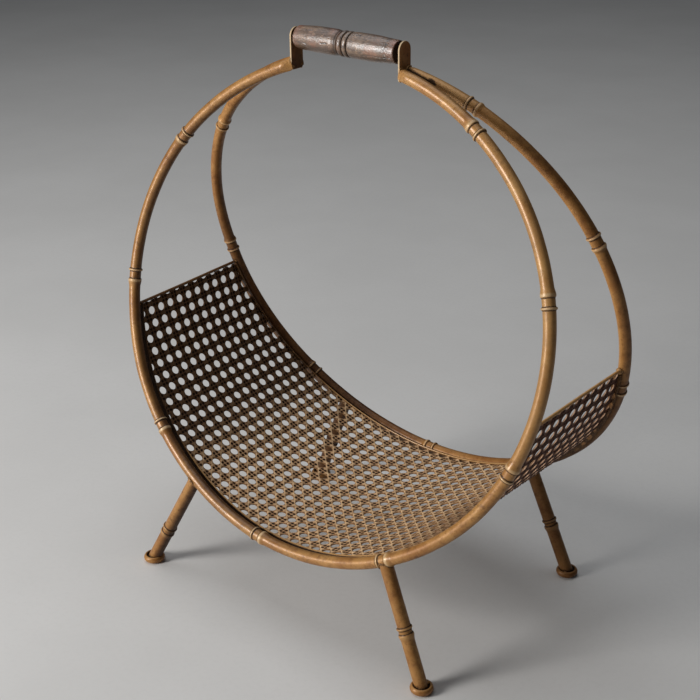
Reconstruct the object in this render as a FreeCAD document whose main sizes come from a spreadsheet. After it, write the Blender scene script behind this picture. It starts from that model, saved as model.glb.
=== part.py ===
import FreeCAD, Part
import math
import os
import Sketcher
from FreeCAD import Placement, Rotation, Vector

# Log holder: two leaning hoops of round bar, closed at the top by two plates
# with a turned wooden grip between them, a bent sheet trough between the hoops
# and four splayed legs on round feet.
# +Z is up, +X runs along the grip, -Y is the front; the feet stand on Z = 0
# and the origin is the middle of the footprint.

SIZES = [
    # hoops: an oval of four tangent arcs, 90 degrees each
    ("bar_radius", 6.0),
    ("side_radius", 229.0),       # arcs at the left and right
    ("centre_shift", 29.0),       # from the oval's middle to each arc's centre
    ("lean_deg", 15.3),           # each hoop leans inwards by this angle
    ("hoop_mid_y", 68.4),         # half the distance between the oval middles
    ("hoop_mid_z", 325.0),
    # wire rings on the hoops
    ("ring_wire", 1.6),
    ("ring_fit", 0.09),         # brazing gap under a ring
    ("ring_pair_half", 5.4),      # half the distance between the rings of a pair
    # plates
    ("plate_thick", 2.5),
    ("plate_width", 17.0),
    ("plate_left_x", -76.8),      # inner faces
    ("plate_right_x", 50.8),
    ("plate_top_z", 580.5),
    ("plate_left_foot_z", 539.5),
    ("plate_right_foot_z", 545.0),
    # rod and grip
    ("rod_radius", 3.0),
    ("grip_bore", 3.06),
    ("grip_mid_x", -14.0),
    ("grip_axis_z", 571.0),
    ("grip_half", 61.0),
    ("grip_end_flat", 9.4),
    ("grip_end_x", 59.6),
    ("grip_end_radius", 10.9),
    ("grip_end_round", 1.7),
    ("grip_belly_x", 9.0),
    ("grip_belly_radius", 12.3),
    ("grip_belly_arc", 420.0),
    ("grip_neck_x", 6.5),
    ("grip_neck_radius", 10.9),
    ("grip_shoulder", 2.5),
    ("grip_bead_outer", 5.9),
    ("grip_bead_inner", 0.4),
    ("grip_bead_arc", 3.4),
    # trough sheet, its cross rods and edge strips
    ("sheet_thick", 1.0),
    ("sheet_edge_left_z", 274.8),  # the sheet sits a little askew, lower on the left
    ("sheet_edge_right_z", 281.8),
    ("sheet_gap", 8.9),           # from a hoop's plane to the edge of the sheet
    ("sheet_side_radius", 213.2),
    ("sheet_centre_shift", 44.3),
    ("strip_out", 7.65),          # from a hoop's plane to the near face of the strip
    ("strip_thick", 1.2),
    ("strip_below", 1.4),         # beyond the bar's centre line
    ("strip_above", 8.2),         # inside the bar's centre line
    ("strip_top_left", -50.2),    # heights in the hoop's plane
    ("strip_top_right", -45.0),
    ("cross_rod_radius", 1.6),
    ("cross_rod_left_z", 276.45),
    ("cross_rod_right_z", 283.45),
    # legs and feet
    ("leg_radius", 6.75),
    ("leg_angle", 31.2),          # on the hoop, from its lowest point
    ("leg_short", 2.0),           # the leg stops this far from the bar's centre line
    ("leg_end_z", 4.0),
    ("leg_ring_wire", 1.5),
    ("leg_ring_one", 0.475),      # along the leg, from the foot
    ("leg_ring_two", 0.42),
    ("leg_ring_one_front_left", 0.395),
    ("leg_ring_two_front_left", 0.335),
    ("foot_x", 176.0),
    ("foot_x_front_left", 195.0),  # this leg is splayed a little more
    ("foot_y", 130.0),
    ("foot_core", 7.6),
    ("foot_round", 4.0),
]

# places of the ring pairs round each hoop, in degrees from its top towards +X
FRONT_RINGS = (35.9, 74.3, 109.8, 149.0, 187.2, 227.8, 265.8, 303.6)
BACK_RINGS = (29.7, 67.8, 104.6, 143.3, 182.5, 223.3, 264.1, 301.4)

doc = FreeCAD.newDocument("log_holder")
sheet = doc.addObject("Spreadsheet::Sheet", "Sizes")
for row, (alias, value) in enumerate(SIZES, 1):
    sheet.set("A%d" % row, alias.replace("_", " "))
    sheet.set("B%d" % row, str(value))
    sheet.setAlias("B%d" % row, alias)
doc.recompute()


def size(alias):
    return float(getattr(sheet, alias))


S = "Sizes."
subparts = []


def node(obj, label):
    """Names a finished piece."""
    obj.Label = label
    subparts.append(obj)
    return obj


def add(kind, name, placement=None, **expressions):
    obj = doc.addObject(kind, name)
    for prop, text in expressions.items():
        obj.setExpression(prop, text)
    if placement is not None:
        obj.Placement = placement
    return obj


def cut(name, base, tool):
    obj = doc.addObject("Part::Cut", name)
    obj.Base = base
    obj.Tool = tool
    return obj


def fuse(name, shapes):
    obj = doc.addObject("Part::MultiFuse", name)
    obj.Shapes = shapes
    obj.Refine = True
    return obj


# ------------------------------------------------------------------ the oval
SHIFT = size("centre_shift")
SIDE = size("side_radius")
TOP = SIDE + SHIFT * math.sqrt(2.0)
LEAN = math.radians(size("lean_deg"))


def hoop_frame(side):
    """Frame of a hoop: X along the grip, Y up in the hoop's plane, Z its normal.
    side is -1 for the front hoop and +1 for the back one."""
    angle = 90.0 + side * size("lean_deg")
    return Placement(Vector(0, side * size("hoop_mid_y"), size("hoop_mid_z")), Rotation(Vector(1, 0, 0), angle))


def oval_point(degrees):
    """Point and direction of the oval, in its own plane, at an angle from the top."""
    a = math.radians(degrees)
    ux, uy = math.sin(a), math.cos(a)
    if abs(ux) >= abs(uy):
        cx, cy, r = math.copysign(SHIFT, ux), 0.0, SIDE
    else:
        cx, cy, r = 0.0, -math.copysign(SHIFT, uy), TOP
    b = ux * cx + uy * cy
    reach = b + math.sqrt(b * b - cx * cx - cy * cy + r * r)
    x, y = reach * ux, reach * uy
    nx, ny = (x - cx) / r, (y - cy) / r
    return Vector(x, y, 0), Vector(ny, -nx, 0)


def oval_wire(inset, side_radius, shift):
    """Closed wire of the four arcs, moved inwards by inset."""
    top = side_radius + shift * math.sqrt(2.0)
    q = math.sqrt(0.5)
    arcs = []
    for k, (cx, cy, r) in enumerate(
        ((shift, 0, side_radius), (0, -shift, top), (-shift, 0, side_radius), (0, shift, top))
    ):
        r -= inset
        pts = []
        for turn in (-45, 0, 45):
            a = math.radians(90 * k + turn)
            pts.append(Vector(cx + r * math.cos(a), cy + r * math.sin(a), 0))
        arcs.append(Part.Arc(*pts).toShape())
    return Part.Wire(arcs)


TOP_EXPR = "(" + S + "side_radius + " + S + "centre_shift * sqrt(2))"


def hoop_bar(name, side):
    """The whole ring of bar, still closed at the top."""
    frame = hoop_frame(side)
    pieces = []
    for k, (cx, cy, radius) in enumerate(
        ((SHIFT, 0, S + "side_radius"), (0, -SHIFT, TOP_EXPR), (-SHIFT, 0, S + "side_radius"), (0, SHIFT, TOP_EXPR))
    ):
        local = Placement(Vector(cx, cy, 0), Rotation(Vector(0, 0, 1), 90 * k - 45))
        arc = add("Part::Torus", "%s_arc%d" % (name, k), frame.multiply(local), Radius1=radius, Radius2=S + "bar_radius")
        arc.Angle3 = 90
        pieces.append(arc)
    return fuse(name + "_ring", pieces)


front_bar = hoop_bar("front_bar", -1)
back_bar = hoop_bar("back_bar", 1)

left_outer = size("plate_left_x") - size("plate_thick")
right_outer = size("plate_right_x") + size("plate_thick")
OPEN = S + "plate_right_x - " + S + "plate_left_x + 2 * " + S + "plate_thick"


def top_gap(name):
    """Block that opens a hoop between the outer faces of the two plates."""
    block = add("Part::Box", name, Placement(Vector(left_outer, -60, 480), Rotation()), Length=OPEN)
    block.Width = 120
    block.Height = 120
    return block


front_hoop = node(cut("front_hoop", front_bar, top_gap("front_gap")), "front_hoop")
back_hoop = node(cut("back_hoop", back_bar, top_gap("back_gap")), "back_hoop")


# ------------------------------------------------------- rings round the bars
def wire_ring(name, point, direction, bar, wire):
    """Half-round wire bent round a bar; its flat side is the bar's surface."""
    ring = add(
        "Part::Torus",
        name,
        Placement(point, Rotation(Vector(0, 0, 1), direction)),
        Radius1=bar + " + " + S + "ring_fit",
        Radius2=wire,
    )
    ring.Angle1 = -90
    ring.Angle2 = 90
    return ring


def hoop_rings(name, side, angles):
    frame = hoop_frame(side)
    half = math.degrees(size("ring_pair_half") / 250.0)
    rings = []
    for k, angle in enumerate(angles):
        for j, turn in enumerate((-half, half)):
            point, direction = oval_point(angle + turn)
            rings.append(
                wire_ring("%s_%d_%d" % (name, k, j), frame.multVec(point), frame.Rotation.multVec(direction), S + "bar_radius", S + "ring_wire")
            )
    group = doc.addObject("Part::Compound", name)
    group.Links = rings
    return node(group, name)


front_rings = hoop_rings("front_hoop_rings", -1, FRONT_RINGS)
back_rings = hoop_rings("back_hoop_rings", 1, BACK_RINGS)


# ------------------------------------------------------------ plates and rod
def plate(name, inner, outer, foot):
    x = min(size(inner), outer)
    half = size("plate_width") / 2.0
    blank = add(
        "Part::Box",
        name + "_blank",
        Placement(Vector(x, -half, size(foot)), Rotation()),
        Length=S + "plate_thick",
        Width=S + "plate_width",
        Height=S + "plate_top_z - " + S + foot + " - " + S + "plate_width / 2",
    )
    along = Rotation(Vector(0, 1, 0), 90)
    crown = add(
        "Part::Cylinder",
        name + "_crown",
        Placement(Vector(x, 0, size("plate_top_z") - half), along),
        Radius=S + "plate_width / 2",
        Height=S + "plate_thick",
    )
    eye = add(
        "Part::Cylinder",
        name + "_eye",
        Placement(Vector(x - 1, 0, size("grip_axis_z")), along),
        Radius=S + "rod_radius",
        Height=S + "plate_thick + 2",
    )
    return node(cut(name, fuse(name + "_body", [blank, crown]), eye), name)


plate("left_plate", "plate_left_x", left_outer, "plate_left_foot_z")
plate("right_plate", "plate_right_x", right_outer, "plate_right_foot_z")

node(
    add(
        "Part::Cylinder",
        "handle_rod",
        Placement(Vector(left_outer, 0, size("grip_axis_z")), Rotation(Vector(0, 1, 0), 90)),
        Radius=S + "rod_radius",
        Height=OPEN,
    ),
    "handle_rod",
)

# ---------------------------------------------------------------------- grip
# Half of the grip's section, from its middle to its end, turned about X and
# mirrored: an end with a small round, a long belly, a shoulder, a groove and a
# bead on each side of the middle groove.
body = doc.addObject("PartDesign::Body", "handle_grip_body")
sk = body.newObject("Sketcher::SketchObject", "grip_section")
planes = {f.Role: f for f in body.Origin.OriginFeatures}
sk.AttachmentSupport = [(planes["XY_Plane"], "")]
sk.MapMode = "FlatFace"

section = [
    ("0", "grip_bore", None),
    ("grip_half", "grip_bore", None),
    ("grip_half", "grip_end_flat", None),
    ("grip_end_x", "grip_end_radius", "grip_end_round"),
    ("grip_belly_x", "grip_belly_radius", "grip_belly_arc"),
    ("grip_neck_x", "grip_neck_radius", "grip_shoulder"),
    ("grip_bead_outer", "grip_neck_radius", None),
    ("grip_bead_inner", "grip_neck_radius", "grip_bead_arc"),
    ("0", "grip_neck_radius", None),
]


def value(word):
    return 0.0 if word == "0" else size(word)


corner = [Vector(value(x), value(y), 0) for x, y, r in section]
ends = []
for k in range(len(section)):
    a, b = corner[k], corner[(k + 1) % len(section)]
    radius = section[(k + 1) % len(section)][2]
    if radius is None:
        g = sk.addGeometry(Part.LineSegment(a, b), False)
        ends.append((g, 1, 2))
    else:
        r = size(radius)
        chord = b - a
        mid = (a + b) * 0.5
        out = Vector(chord.y, -chord.x, 0).normalize()
        centre = mid - out * math.sqrt(r * r - chord.Length ** 2 / 4.0)
        top = centre + out * r
        g = sk.addGeometry(Part.Arc(a, top, b), False)
        start = sk.getPoint(g, 1)
        ends.append((g, 1, 2) if start.distanceToPoint(a) < 1e-6 else (g, 2, 1))
        sk.addConstraint(Sketcher.Constraint("Radius", g, r))
        sk.setExpression("Constraints[%d]" % (sk.ConstraintCount - 1), S + radius)
for k in range(len(ends)):
    g, first, last = ends[k]
    h, begin, _ = ends[(k + 1) % len(ends)]
    sk.addConstraint(Sketcher.Constraint("Coincident", g, last, h, begin))
for k, (x, y, _) in enumerate(section):
    g, first, last = ends[k]
    if x == "0":
        sk.addConstraint(Sketcher.Constraint("PointOnObject", g, first, -2))
    else:
        sk.addConstraint(Sketcher.Constraint("DistanceX", -1, 1, g, first, size(x)))
        sk.setExpression("Constraints[%d]" % (sk.ConstraintCount - 1), S + x)
    sk.addConstraint(Sketcher.Constraint("DistanceY", -1, 1, g, first, size(y)))
    sk.setExpression("Constraints[%d]" % (sk.ConstraintCount - 1), S + y)
turned = body.newObject("PartDesign::Revolution", "grip_turned")
turned.Profile = sk
turned.ReferenceAxis = (sk, ["H_Axis"])
turned.Angle = 360
doc.recompute()
mirrored = body.newObject("PartDesign::Mirrored", "grip_both_ends")
mirrored.Originals = [turned]
mirrored.MirrorPlane = (planes["YZ_Plane"], [""])
body.Tip = mirrored
body.Placement = Placement(Vector(size("grip_mid_x"), 0, size("grip_axis_z")), Rotation())
node(body, "handle_grip")

# -------------------------------------------------------- trough and its edges
# The sheet is bent to an oval section and runs along Y; sloping planes beside
# the two hoops trim its sides, so it is widest at the bottom.
deep = 200.0
outer = Part.Face(oval_wire(0.0, size("sheet_side_radius"), size("sheet_centre_shift")))
inner = Part.Face(oval_wire(size("sheet_thick"), size("sheet_side_radius"), size("sheet_centre_shift")))
band = outer.cut(inner).extrude(Vector(0, 0, 2 * deep))
band.Placement = Placement(Vector(0, deep, size("hoop_mid_z")), Rotation(Vector(1, 0, 0), 90))
band = band.cut(Part.makeBox(400, 800, 400, Vector(-400, -400, size("sheet_edge_left_z"))))
band = band.cut(Part.makeBox(400, 800, 400, Vector(0, -400, size("sheet_edge_right_z"))))
for side in (-1, 1):
    beyond = Part.makeBox(900, 900, 300, Vector(-450, -450, 0))
    frame = hoop_frame(side)
    if side < 0:
        beyond.Placement = frame.multiply(Placement(Vector(0, 0, -size("sheet_gap")), Rotation()))
    else:
        beyond.Placement = frame.multiply(Placement(Vector(0, 0, size("sheet_gap") - 300), Rotation()))
    band = band.cut(beyond)
trough = doc.addObject("Part::Feature", "trough_sheet")
trough.Shape = band.Solids[0] if len(band.Solids) == 1 else band
node(trough, "trough_sheet")


def edge_strip(name, side):
    """Flat strip that follows the hoop at its inner side, below the sheet's top."""
    wide = Part.Face(oval_wire(-size("strip_below"), SIDE, SHIFT))
    narrow = Part.Face(oval_wire(size("strip_above"), SIDE, SHIFT))
    ring = wide.cut(narrow).extrude(Vector(0, 0, size("strip_thick")))
    ring = ring.cut(Part.makeBox(400, 800, 20, Vector(-400, size("strip_top_left"), -10)))
    ring = ring.cut(Part.makeBox(400, 800, 20, Vector(0, size("strip_top_right"), -10)))
    strip = doc.addObject("Part::Feature", name)
    strip.Shape = ring.Solids[0] if len(ring.Solids) == 1 else ring
    lift = -size("strip_out") - size("strip_thick") if side < 0 else size("strip_out")
    strip.Placement = hoop_frame(side).multiply(Placement(Vector(0, 0, lift), Rotation()))
    return node(strip, name)


def sheet_x(z):
    """Half width of the sheet's middle surface at a height."""
    a, c = size("sheet_side_radius") - size("sheet_thick") / 2.0, size("sheet_centre_shift")
    h = z - size("hoop_mid_z")
    return c + math.sqrt(a * a - h * h)


edge_strip("front_edge_strip", -1)
edge_strip("back_edge_strip", 1)


def cross_rod(name, side, level):
    z = size(level)
    reach = size("hoop_mid_y") + (size("hoop_mid_z") - z) * math.tan(LEAN)
    blank = add(
        "Part::Cylinder",
        name + "_blank",
        Placement(Vector(side * sheet_x(z), -reach, z), Rotation(Vector(1, 0, 0), -90)),
        Radius=S + "cross_rod_radius",
        Height="2 * (" + S + "hoop_mid_y + (" + S + "hoop_mid_z - " + S + level + ") * tan(" + S + "lean_deg * 1 deg))",
    )
    return node(cut(name, cut(name + "_front", blank, front_bar), back_bar), name)


cross_rod("left_cross_rod", -1, "cross_rod_left_z")
cross_rod("right_cross_rod", 1, "cross_rod_right_z")

# -------------------------------------------------------------- legs and feet
for side, word, bar, rings in ((-1, "front", front_bar, front_rings), (1, "back", back_bar, back_rings)):
    for hand, name in ((-1, "left"), (1, "right")):
        label = "%s_%s" % (word, name)
        point, _ = oval_point(180 - hand * size("leg_angle"))
        top = hoop_frame(side).multVec(point)
        spread = "foot_x_front_left" if label == "front_left" else "foot_x"
        end = Vector(hand * size(spread), side * size("foot_y"), size("leg_end_z"))
        axis = top - end
        length = axis.Length
        axis.normalize()
        turn = Rotation(Vector(0, 0, 1), axis)
        blank = add("Part::Cylinder", label + "_leg_blank", Placement(end, turn), Radius=S + "leg_radius")
        # distance from the leg's end in the foot to the bar's centre line
        blank.setExpression(
            "Height",
            "sqrt((%s - %.6f)^2 + (%sfoot_y - %.6f)^2 + (%.6f - %sleg_end_z)^2) - %sleg_short"
            % (S + spread, abs(top.x), S, abs(top.y), top.z, S, S),
        )
        node(cut(label + "_leg", cut(label + "_leg_coped", blank, bar), rings), label + "_leg")
        pair = []
        lower = "_front_left" if label == "front_left" else ""
        for k, share in enumerate(("leg_ring_one" + lower, "leg_ring_two" + lower)):
            pair.append(
                wire_ring("%s_leg_ring%d" % (label, k), end + axis * (length * size(share)), axis, S + "leg_radius", S + "leg_ring_wire")
            )
        group = doc.addObject("Part::Compound", label + "_leg_rings")
        group.Links = pair
        node(group, label + "_leg_rings")
        core = add(
            "Part::Cylinder",
            label + "_foot_core",
            Placement(Vector(end.x, end.y, 0), Rotation()),
            Radius=S + "foot_core",
            Height="2 * " + S + "foot_round",
        )
        rim = add(
            "Part::Torus",
            label + "_foot_rim",
            Placement(Vector(end.x, end.y, size("foot_round")), Rotation()),
            Radius1=S + "foot_core",
            Radius2=S + "foot_round",
        )
        node(cut(label + "_foot", fuse(label + "_foot_bun", [core, rim]), blank), label + "_foot")

doc.recompute()

# ------------------------------------------------------------ tests and files
for obj in doc.Objects:
    if "Invalid" in obj.State or "Error" in obj.State:
        raise RuntimeError("%s (%s): %s" % (obj.Name, obj.Label, obj.State))
for obj in subparts:
    shape = obj.Shape
    if shape.isNull() or not shape.isValid() or not shape.Solids:
        raise RuntimeError("bad shape: " + obj.Label)
os.makedirs("parts", exist_ok=True)
for obj in subparts:
    shape = obj.Shape
    box = shape.optimalBoundingBox(False)
    print(
        "%-24s solids %2d  volume %10.1f  x %7.1f %7.1f  y %7.1f %7.1f  z %7.1f %7.1f"
        % (obj.Label, len(shape.Solids), shape.Volume, box.XMin, box.XMax, box.YMin, box.YMax, box.ZMin, box.ZMax)
    )
    shape.exportStep("parts/%s.step" % obj.Label)
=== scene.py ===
import math

import bmesh
import bpy
import numpy as np
from mathutils import Matrix, Vector, noise
from mathutils.geometry import delaunay_2d_cdt


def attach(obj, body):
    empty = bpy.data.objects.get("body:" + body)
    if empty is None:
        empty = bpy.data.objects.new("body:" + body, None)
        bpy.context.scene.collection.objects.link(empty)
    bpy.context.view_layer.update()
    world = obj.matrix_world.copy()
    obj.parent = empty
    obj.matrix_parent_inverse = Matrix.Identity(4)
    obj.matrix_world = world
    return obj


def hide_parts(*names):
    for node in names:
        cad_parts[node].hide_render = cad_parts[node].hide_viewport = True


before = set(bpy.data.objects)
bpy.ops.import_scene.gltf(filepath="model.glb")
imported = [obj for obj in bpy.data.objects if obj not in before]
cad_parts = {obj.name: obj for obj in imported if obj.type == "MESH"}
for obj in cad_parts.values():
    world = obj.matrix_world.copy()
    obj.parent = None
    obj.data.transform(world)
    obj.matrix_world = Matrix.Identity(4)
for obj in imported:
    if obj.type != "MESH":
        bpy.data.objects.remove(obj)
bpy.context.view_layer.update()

# ----------------------------------------------------------------------------
# sizes of the model, in millimetres, in the frame of the CAD
# ----------------------------------------------------------------------------
BAR = 6.0
SIDE, SHIFT = 229.0, 29.0
TOP = SIDE + SHIFT * math.sqrt(2.0)
LEAN = math.radians(15.3)
MID_Y, MID_Z = 68.4, 325.0
PLATE_L, PLATE_R, PLATE_T = -77.9, 50.8, 2.5
PLATE_W = 17.0
GRIP_X, GRIP_Z, GRIP_HALF = -14.0, 571.0, 61.0
SHEET_SIDE, SHEET_SHIFT, SHEET_T = 213.2, 44.3, 1.0
SHEET_TOP = SHEET_SIDE + SHEET_SHIFT * math.sqrt(2.0)
SHEET_GAP = 8.9
ROD_R = 1.6
ROD_LEVEL = {-1: (277.15, 0.0293), 1: (284.1, 0.0160)}  # height at the middle and slope along Y, left and right
LEG_R, LEG_ANGLE, LEG_END_Z = 6.75, 31.2, 4.0
FOOT_X, FOOT_X_FRONT_LEFT, FOOT_Y = 176.0, 195.0, 130.0
FRONT_RINGS = (35.9, 74.3, 109.8, 149.0, 187.2, 227.8, 265.8, 303.6)
BACK_RINGS = (29.7, 67.8, 104.6, 143.3, 182.5, 223.3, 264.1, 302.4)
X_AXIS = np.array([1.0, 0.0, 0.0])


def rough(points, scale, seed=0.0):
    """Smooth noise, about -1 to 1, at points in millimetres; scale is waves per millimetre."""
    shift = Vector((seed * 17.3, seed * 5.1, seed * 9.7))
    return np.array([noise.noise(Vector(p) * scale + shift) for p in np.asarray(points, float)])


def step(a, b, x):
    t = np.clip((np.asarray(x, float) - a) / (b - a), 0.0, 1.0)
    return t * t * (3.0 - 2.0 * t)


def rod_line(hand, y):
    """x and z of a cross rod's axis at y: along the middle of the sheet's top edge, a little askew."""
    z = ROD_LEVEL[hand][0] + ROD_LEVEL[hand][1] * np.asarray(y, float)
    return hand * (SHEET_SHIFT + np.sqrt((SHEET_SIDE - SHEET_T / 2) ** 2 - (z - MID_Z) ** 2)), z


# ----------------------------------------------------------------------------
# meshes
# ----------------------------------------------------------------------------
def grid(rows, cols, base=0, close_rows=False):
    """Quads of a tube: rows stations of cols points, closed round each station."""
    faces = []
    for a in range(rows if close_rows else rows - 1):
        p, q = base + a * cols, base + ((a + 1) % rows) * cols
        for b in range(cols):
            c = (b + 1) % cols
            faces.append((p + b, p + c, q + c, q + b))
    return faces


def piece(name, verts, faces, material, body="frame", replaces=(), values=None, sharp=None):
    mesh = bpy.data.meshes.new(name)
    mesh.from_pydata((np.asarray(verts, float) * 0.001).tolist(), [], faces)
    for key, v in (values or {}).items():
        layer = mesh.attributes.new(key, "FLOAT", "POINT")
        layer.data.foreach_set("value", np.ascontiguousarray(v, np.float32))
    bm = bmesh.new()
    bm.from_mesh(mesh)
    bmesh.ops.recalc_face_normals(bm, faces=bm.faces)
    bm.to_mesh(mesh)
    bm.free()
    mesh.polygons.foreach_set("use_smooth", [True] * len(mesh.polygons))
    if sharp:
        mesh.set_sharp_from_angle(angle=math.radians(sharp))
    mesh.materials.append(material)
    mesh.update()
    obj = bpy.data.objects.new(name, mesh)
    bpy.context.scene.collection.objects.link(obj)
    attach(obj, body)
    if replaces:
        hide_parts(*replaces)
    return obj


def sweep(centre, first, second, radius, cols):
    """Points of a tube: circles of the given radii in the planes of first and second."""
    a = np.linspace(0, 2 * np.pi, cols, endpoint=False)
    radius = np.asarray(radius, float)
    if radius.ndim == 1:
        radius = radius[:, None] * np.ones(cols)[None]
    ring = np.cos(a)[None, :, None] * first[:, None, :] + np.sin(a)[None, :, None] * second[:, None, :]
    return (centre[:, None, :] + radius[:, :, None] * ring).reshape(-1, 3)


# ----------------------------------------------------------------------------
# materials
# ----------------------------------------------------------------------------
class Nodes:
    """Short way to write a material's node tree."""

    def __init__(self, name):
        self.mat = bpy.data.materials.new(name)
        self.mat.use_nodes = True
        self.tree = self.mat.node_tree
        self.tree.nodes.clear()
        self.out = self.tree.nodes.new("ShaderNodeOutputMaterial")
        self.bsdf = self.tree.nodes.new("ShaderNodeBsdfPrincipled")
        self.tree.links.new(self.bsdf.outputs[0], self.out.inputs[0])
        self.coord = self.tree.nodes.new("ShaderNodeTexCoord").outputs["Object"]

    def link(self, value, socket):
        if isinstance(value, bpy.types.NodeSocket):
            self.tree.links.new(value, socket)
        else:
            socket.default_value = value

    def set(self, **values):
        for key, v in values.items():
            self.link(v, self.bsdf.inputs[key.replace("_", " ")])

    def attr(self, name):
        n = self.tree.nodes.new("ShaderNodeAttribute")
        n.attribute_name = name
        return n.outputs["Fac"]

    def stretch(self, scale, move=(0, 0, 0)):
        n = self.tree.nodes.new("ShaderNodeMapping")
        self.tree.links.new(self.coord, n.inputs["Vector"])
        n.inputs["Scale"].default_value = scale
        n.inputs["Location"].default_value = move
        return n.outputs[0]

    def noise(self, scale, detail=3.0, rough=0.5, vector=None, distortion=0.0):
        n = self.tree.nodes.new("ShaderNodeTexNoise")
        n.inputs["Scale"].default_value = scale
        n.inputs["Detail"].default_value = detail
        n.inputs["Roughness"].default_value = rough
        n.inputs["Distortion"].default_value = distortion
        self.tree.links.new(vector or self.coord, n.inputs["Vector"])
        return n.outputs[0]

    def cells(self, scale, vector=None):
        n = self.tree.nodes.new("ShaderNodeTexVoronoi")
        n.inputs["Scale"].default_value = scale
        self.tree.links.new(vector or self.coord, n.inputs["Vector"])
        return n.outputs["Distance"]

    def ramp(self, value, lo, hi, a=0.0, b=1.0):
        n = self.tree.nodes.new("ShaderNodeMapRange")
        n.interpolation_type = "SMOOTHSTEP"
        self.link(value, n.inputs["Value"])
        n.inputs["From Min"].default_value = lo
        n.inputs["From Max"].default_value = hi
        n.inputs["To Min"].default_value = a
        n.inputs["To Max"].default_value = b
        return n.outputs[0]

    def math(self, op, a, b=0.0, clamp=False):
        n = self.tree.nodes.new("ShaderNodeMath")
        n.operation = op
        n.use_clamp = clamp
        self.link(a, n.inputs[0])
        self.link(b, n.inputs[1])
        return n.outputs[0]

    def mix(self, fac, a, b, mode="MIX"):
        n = self.tree.nodes.new("ShaderNodeMix")
        n.data_type = "RGBA"
        n.blend_type = mode
        n.clamp_factor = True
        self.link(fac, n.inputs[0])
        self.link(a, n.inputs[6])
        self.link(b, n.inputs[7])
        return n.outputs[2]

    def bump(self, height, strength, distance, before=None):
        n = self.tree.nodes.new("ShaderNodeBump")
        n.inputs["Strength"].default_value = strength
        n.inputs["Distance"].default_value = distance
        self.link(height, n.inputs["Height"])
        if before is not None:
            self.tree.links.new(before, n.inputs["Normal"])
        return n.outputs[0]


def rgb(r, g, b):
    return (r, g, b, 1.0)


def gold(name, tone=0.80, red=1.0, metal=0.16, gloss=0.42, spec=0.34, coat=0.30):
    """Aged gold lacquer on iron: mottled, paler where it is rubbed; painted shade, near black, in the crevices, creases
    and joints and on chosen shaded sides, and painted highlights on the ring tops and on chosen lit parts.
    """
    def c(r, g, b):
        return rgb(r * tone, g * tone / red, b * tone / red)

    m = Nodes(name)
    broad = m.noise(34.0, 4.0, 0.55)
    patch = m.noise(130.0, 5.0, 0.62)
    blot = m.noise(75.0, 5.0, 0.68, m.stretch((1.0, 1.0, 1.0), (0.31, 0.17, 0.53)))
    fine = m.noise(850.0, 5.0, 0.65)
    grime_and_shade, wear_and_highlight, deep = m.attr("grime_and_shade"), m.attr("wear_and_highlight"), m.attr("deep")
    colour = m.mix(m.ramp(broad, 0.34, 0.66), c(0.39, 0.170, 0.043), c(0.55, 0.282, 0.086))
    colour = m.mix(m.ramp(patch, 0.50, 0.74, 0.0, 0.62), colour, c(0.21, 0.084, 0.019))
    colour = m.mix(m.ramp(blot, 0.56, 0.70, 0.0, 0.55), colour, c(0.135, 0.050, 0.012))
    colour = m.mix(m.ramp(blot, 0.40, 0.30, 0.0, 0.45), colour, c(0.58, 0.322, 0.115))
    colour = m.mix(m.ramp(fine, 0.58, 0.74, 0.0, 0.6), colour, c(0.15, 0.060, 0.016))
    speck = m.noise(380.0, 4.0, 0.62, m.stretch((1.0, 1.0, 1.0), (0.77, 0.29, 0.11)))
    colour = m.mix(m.ramp(speck, 0.55, 0.70, 0.0, 0.55), colour, c(0.20, 0.070, 0.014))
    colour = m.mix(m.ramp(speck, 0.42, 0.30, 0.0, 0.35), colour, c(0.62, 0.36, 0.14))
    # paler where rubbed; on chosen lit parts (hoop tops and sides, strip edges, the right rod's top) the same paler
    # colour is a painted highlight
    colour = m.mix(m.math("MULTIPLY", wear_and_highlight, m.ramp(patch, 0.3, 0.6, 0.35, 0.85)), colour, c(0.64, 0.375, 0.145))
    # painted shade: the dark brown mixed in where the deep attribute is set stands in for shade on chosen sides and
    # stretches of the parts
    colour = m.mix(m.math("MULTIPLY", deep, m.ramp(patch, 0.3, 0.7, 0.8, 1.0)), colour, c(0.098, 0.036, 0.008))
    # painted highlight on the ring tops, standing in for their bright glints, with some rubbed lacquer there too
    colour = m.mix(m.math("MULTIPLY", m.attr("crest_wear_and_highlight"), m.ramp(patch, 0.3, 0.65, 0.45, 0.9)), colour, c(0.80, 0.58, 0.34))
    # painted shade: near black in the crevices, creases and joints stands in for their shade; on the welds the same mix
    # is random grime
    ragged = m.math("ADD", grime_and_shade, m.ramp(fine, 0.3, 0.7, -0.25, 0.25))
    colour = m.mix(m.ramp(m.math("MULTIPLY", ragged, m.ramp(grime_and_shade, 0.02, 0.2)), 0.15, 0.95, 0.0, 0.92), colour, c(0.034, 0.014, 0.006))
    m.set(Base_Color=colour, Metallic=metal)
    r = m.math("ADD", m.ramp(patch, 0.3, 0.75, gloss - 0.05, gloss + 0.13), m.ramp(fine, 0.35, 0.7, -0.03, 0.08))
    m.set(Roughness=m.math("ADD", r, m.math("MULTIPLY", grime_and_shade, 0.3), True))
    low = m.bump(broad, 0.25, 0.0012)
    mid_bump = m.bump(patch, 0.25, 0.0004, low)
    m.set(Normal=m.bump(fine, 0.18, 0.00012, mid_bump), Coat_Normal=mid_bump)
    m.bsdf.inputs["Specular IOR Level"].default_value = spec
    m.bsdf.inputs["Coat Weight"].default_value = coat
    m.bsdf.inputs["Coat Roughness"].default_value = 0.20
    return m.mat


GOLD = gold("aged_gold_lacquer")
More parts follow.
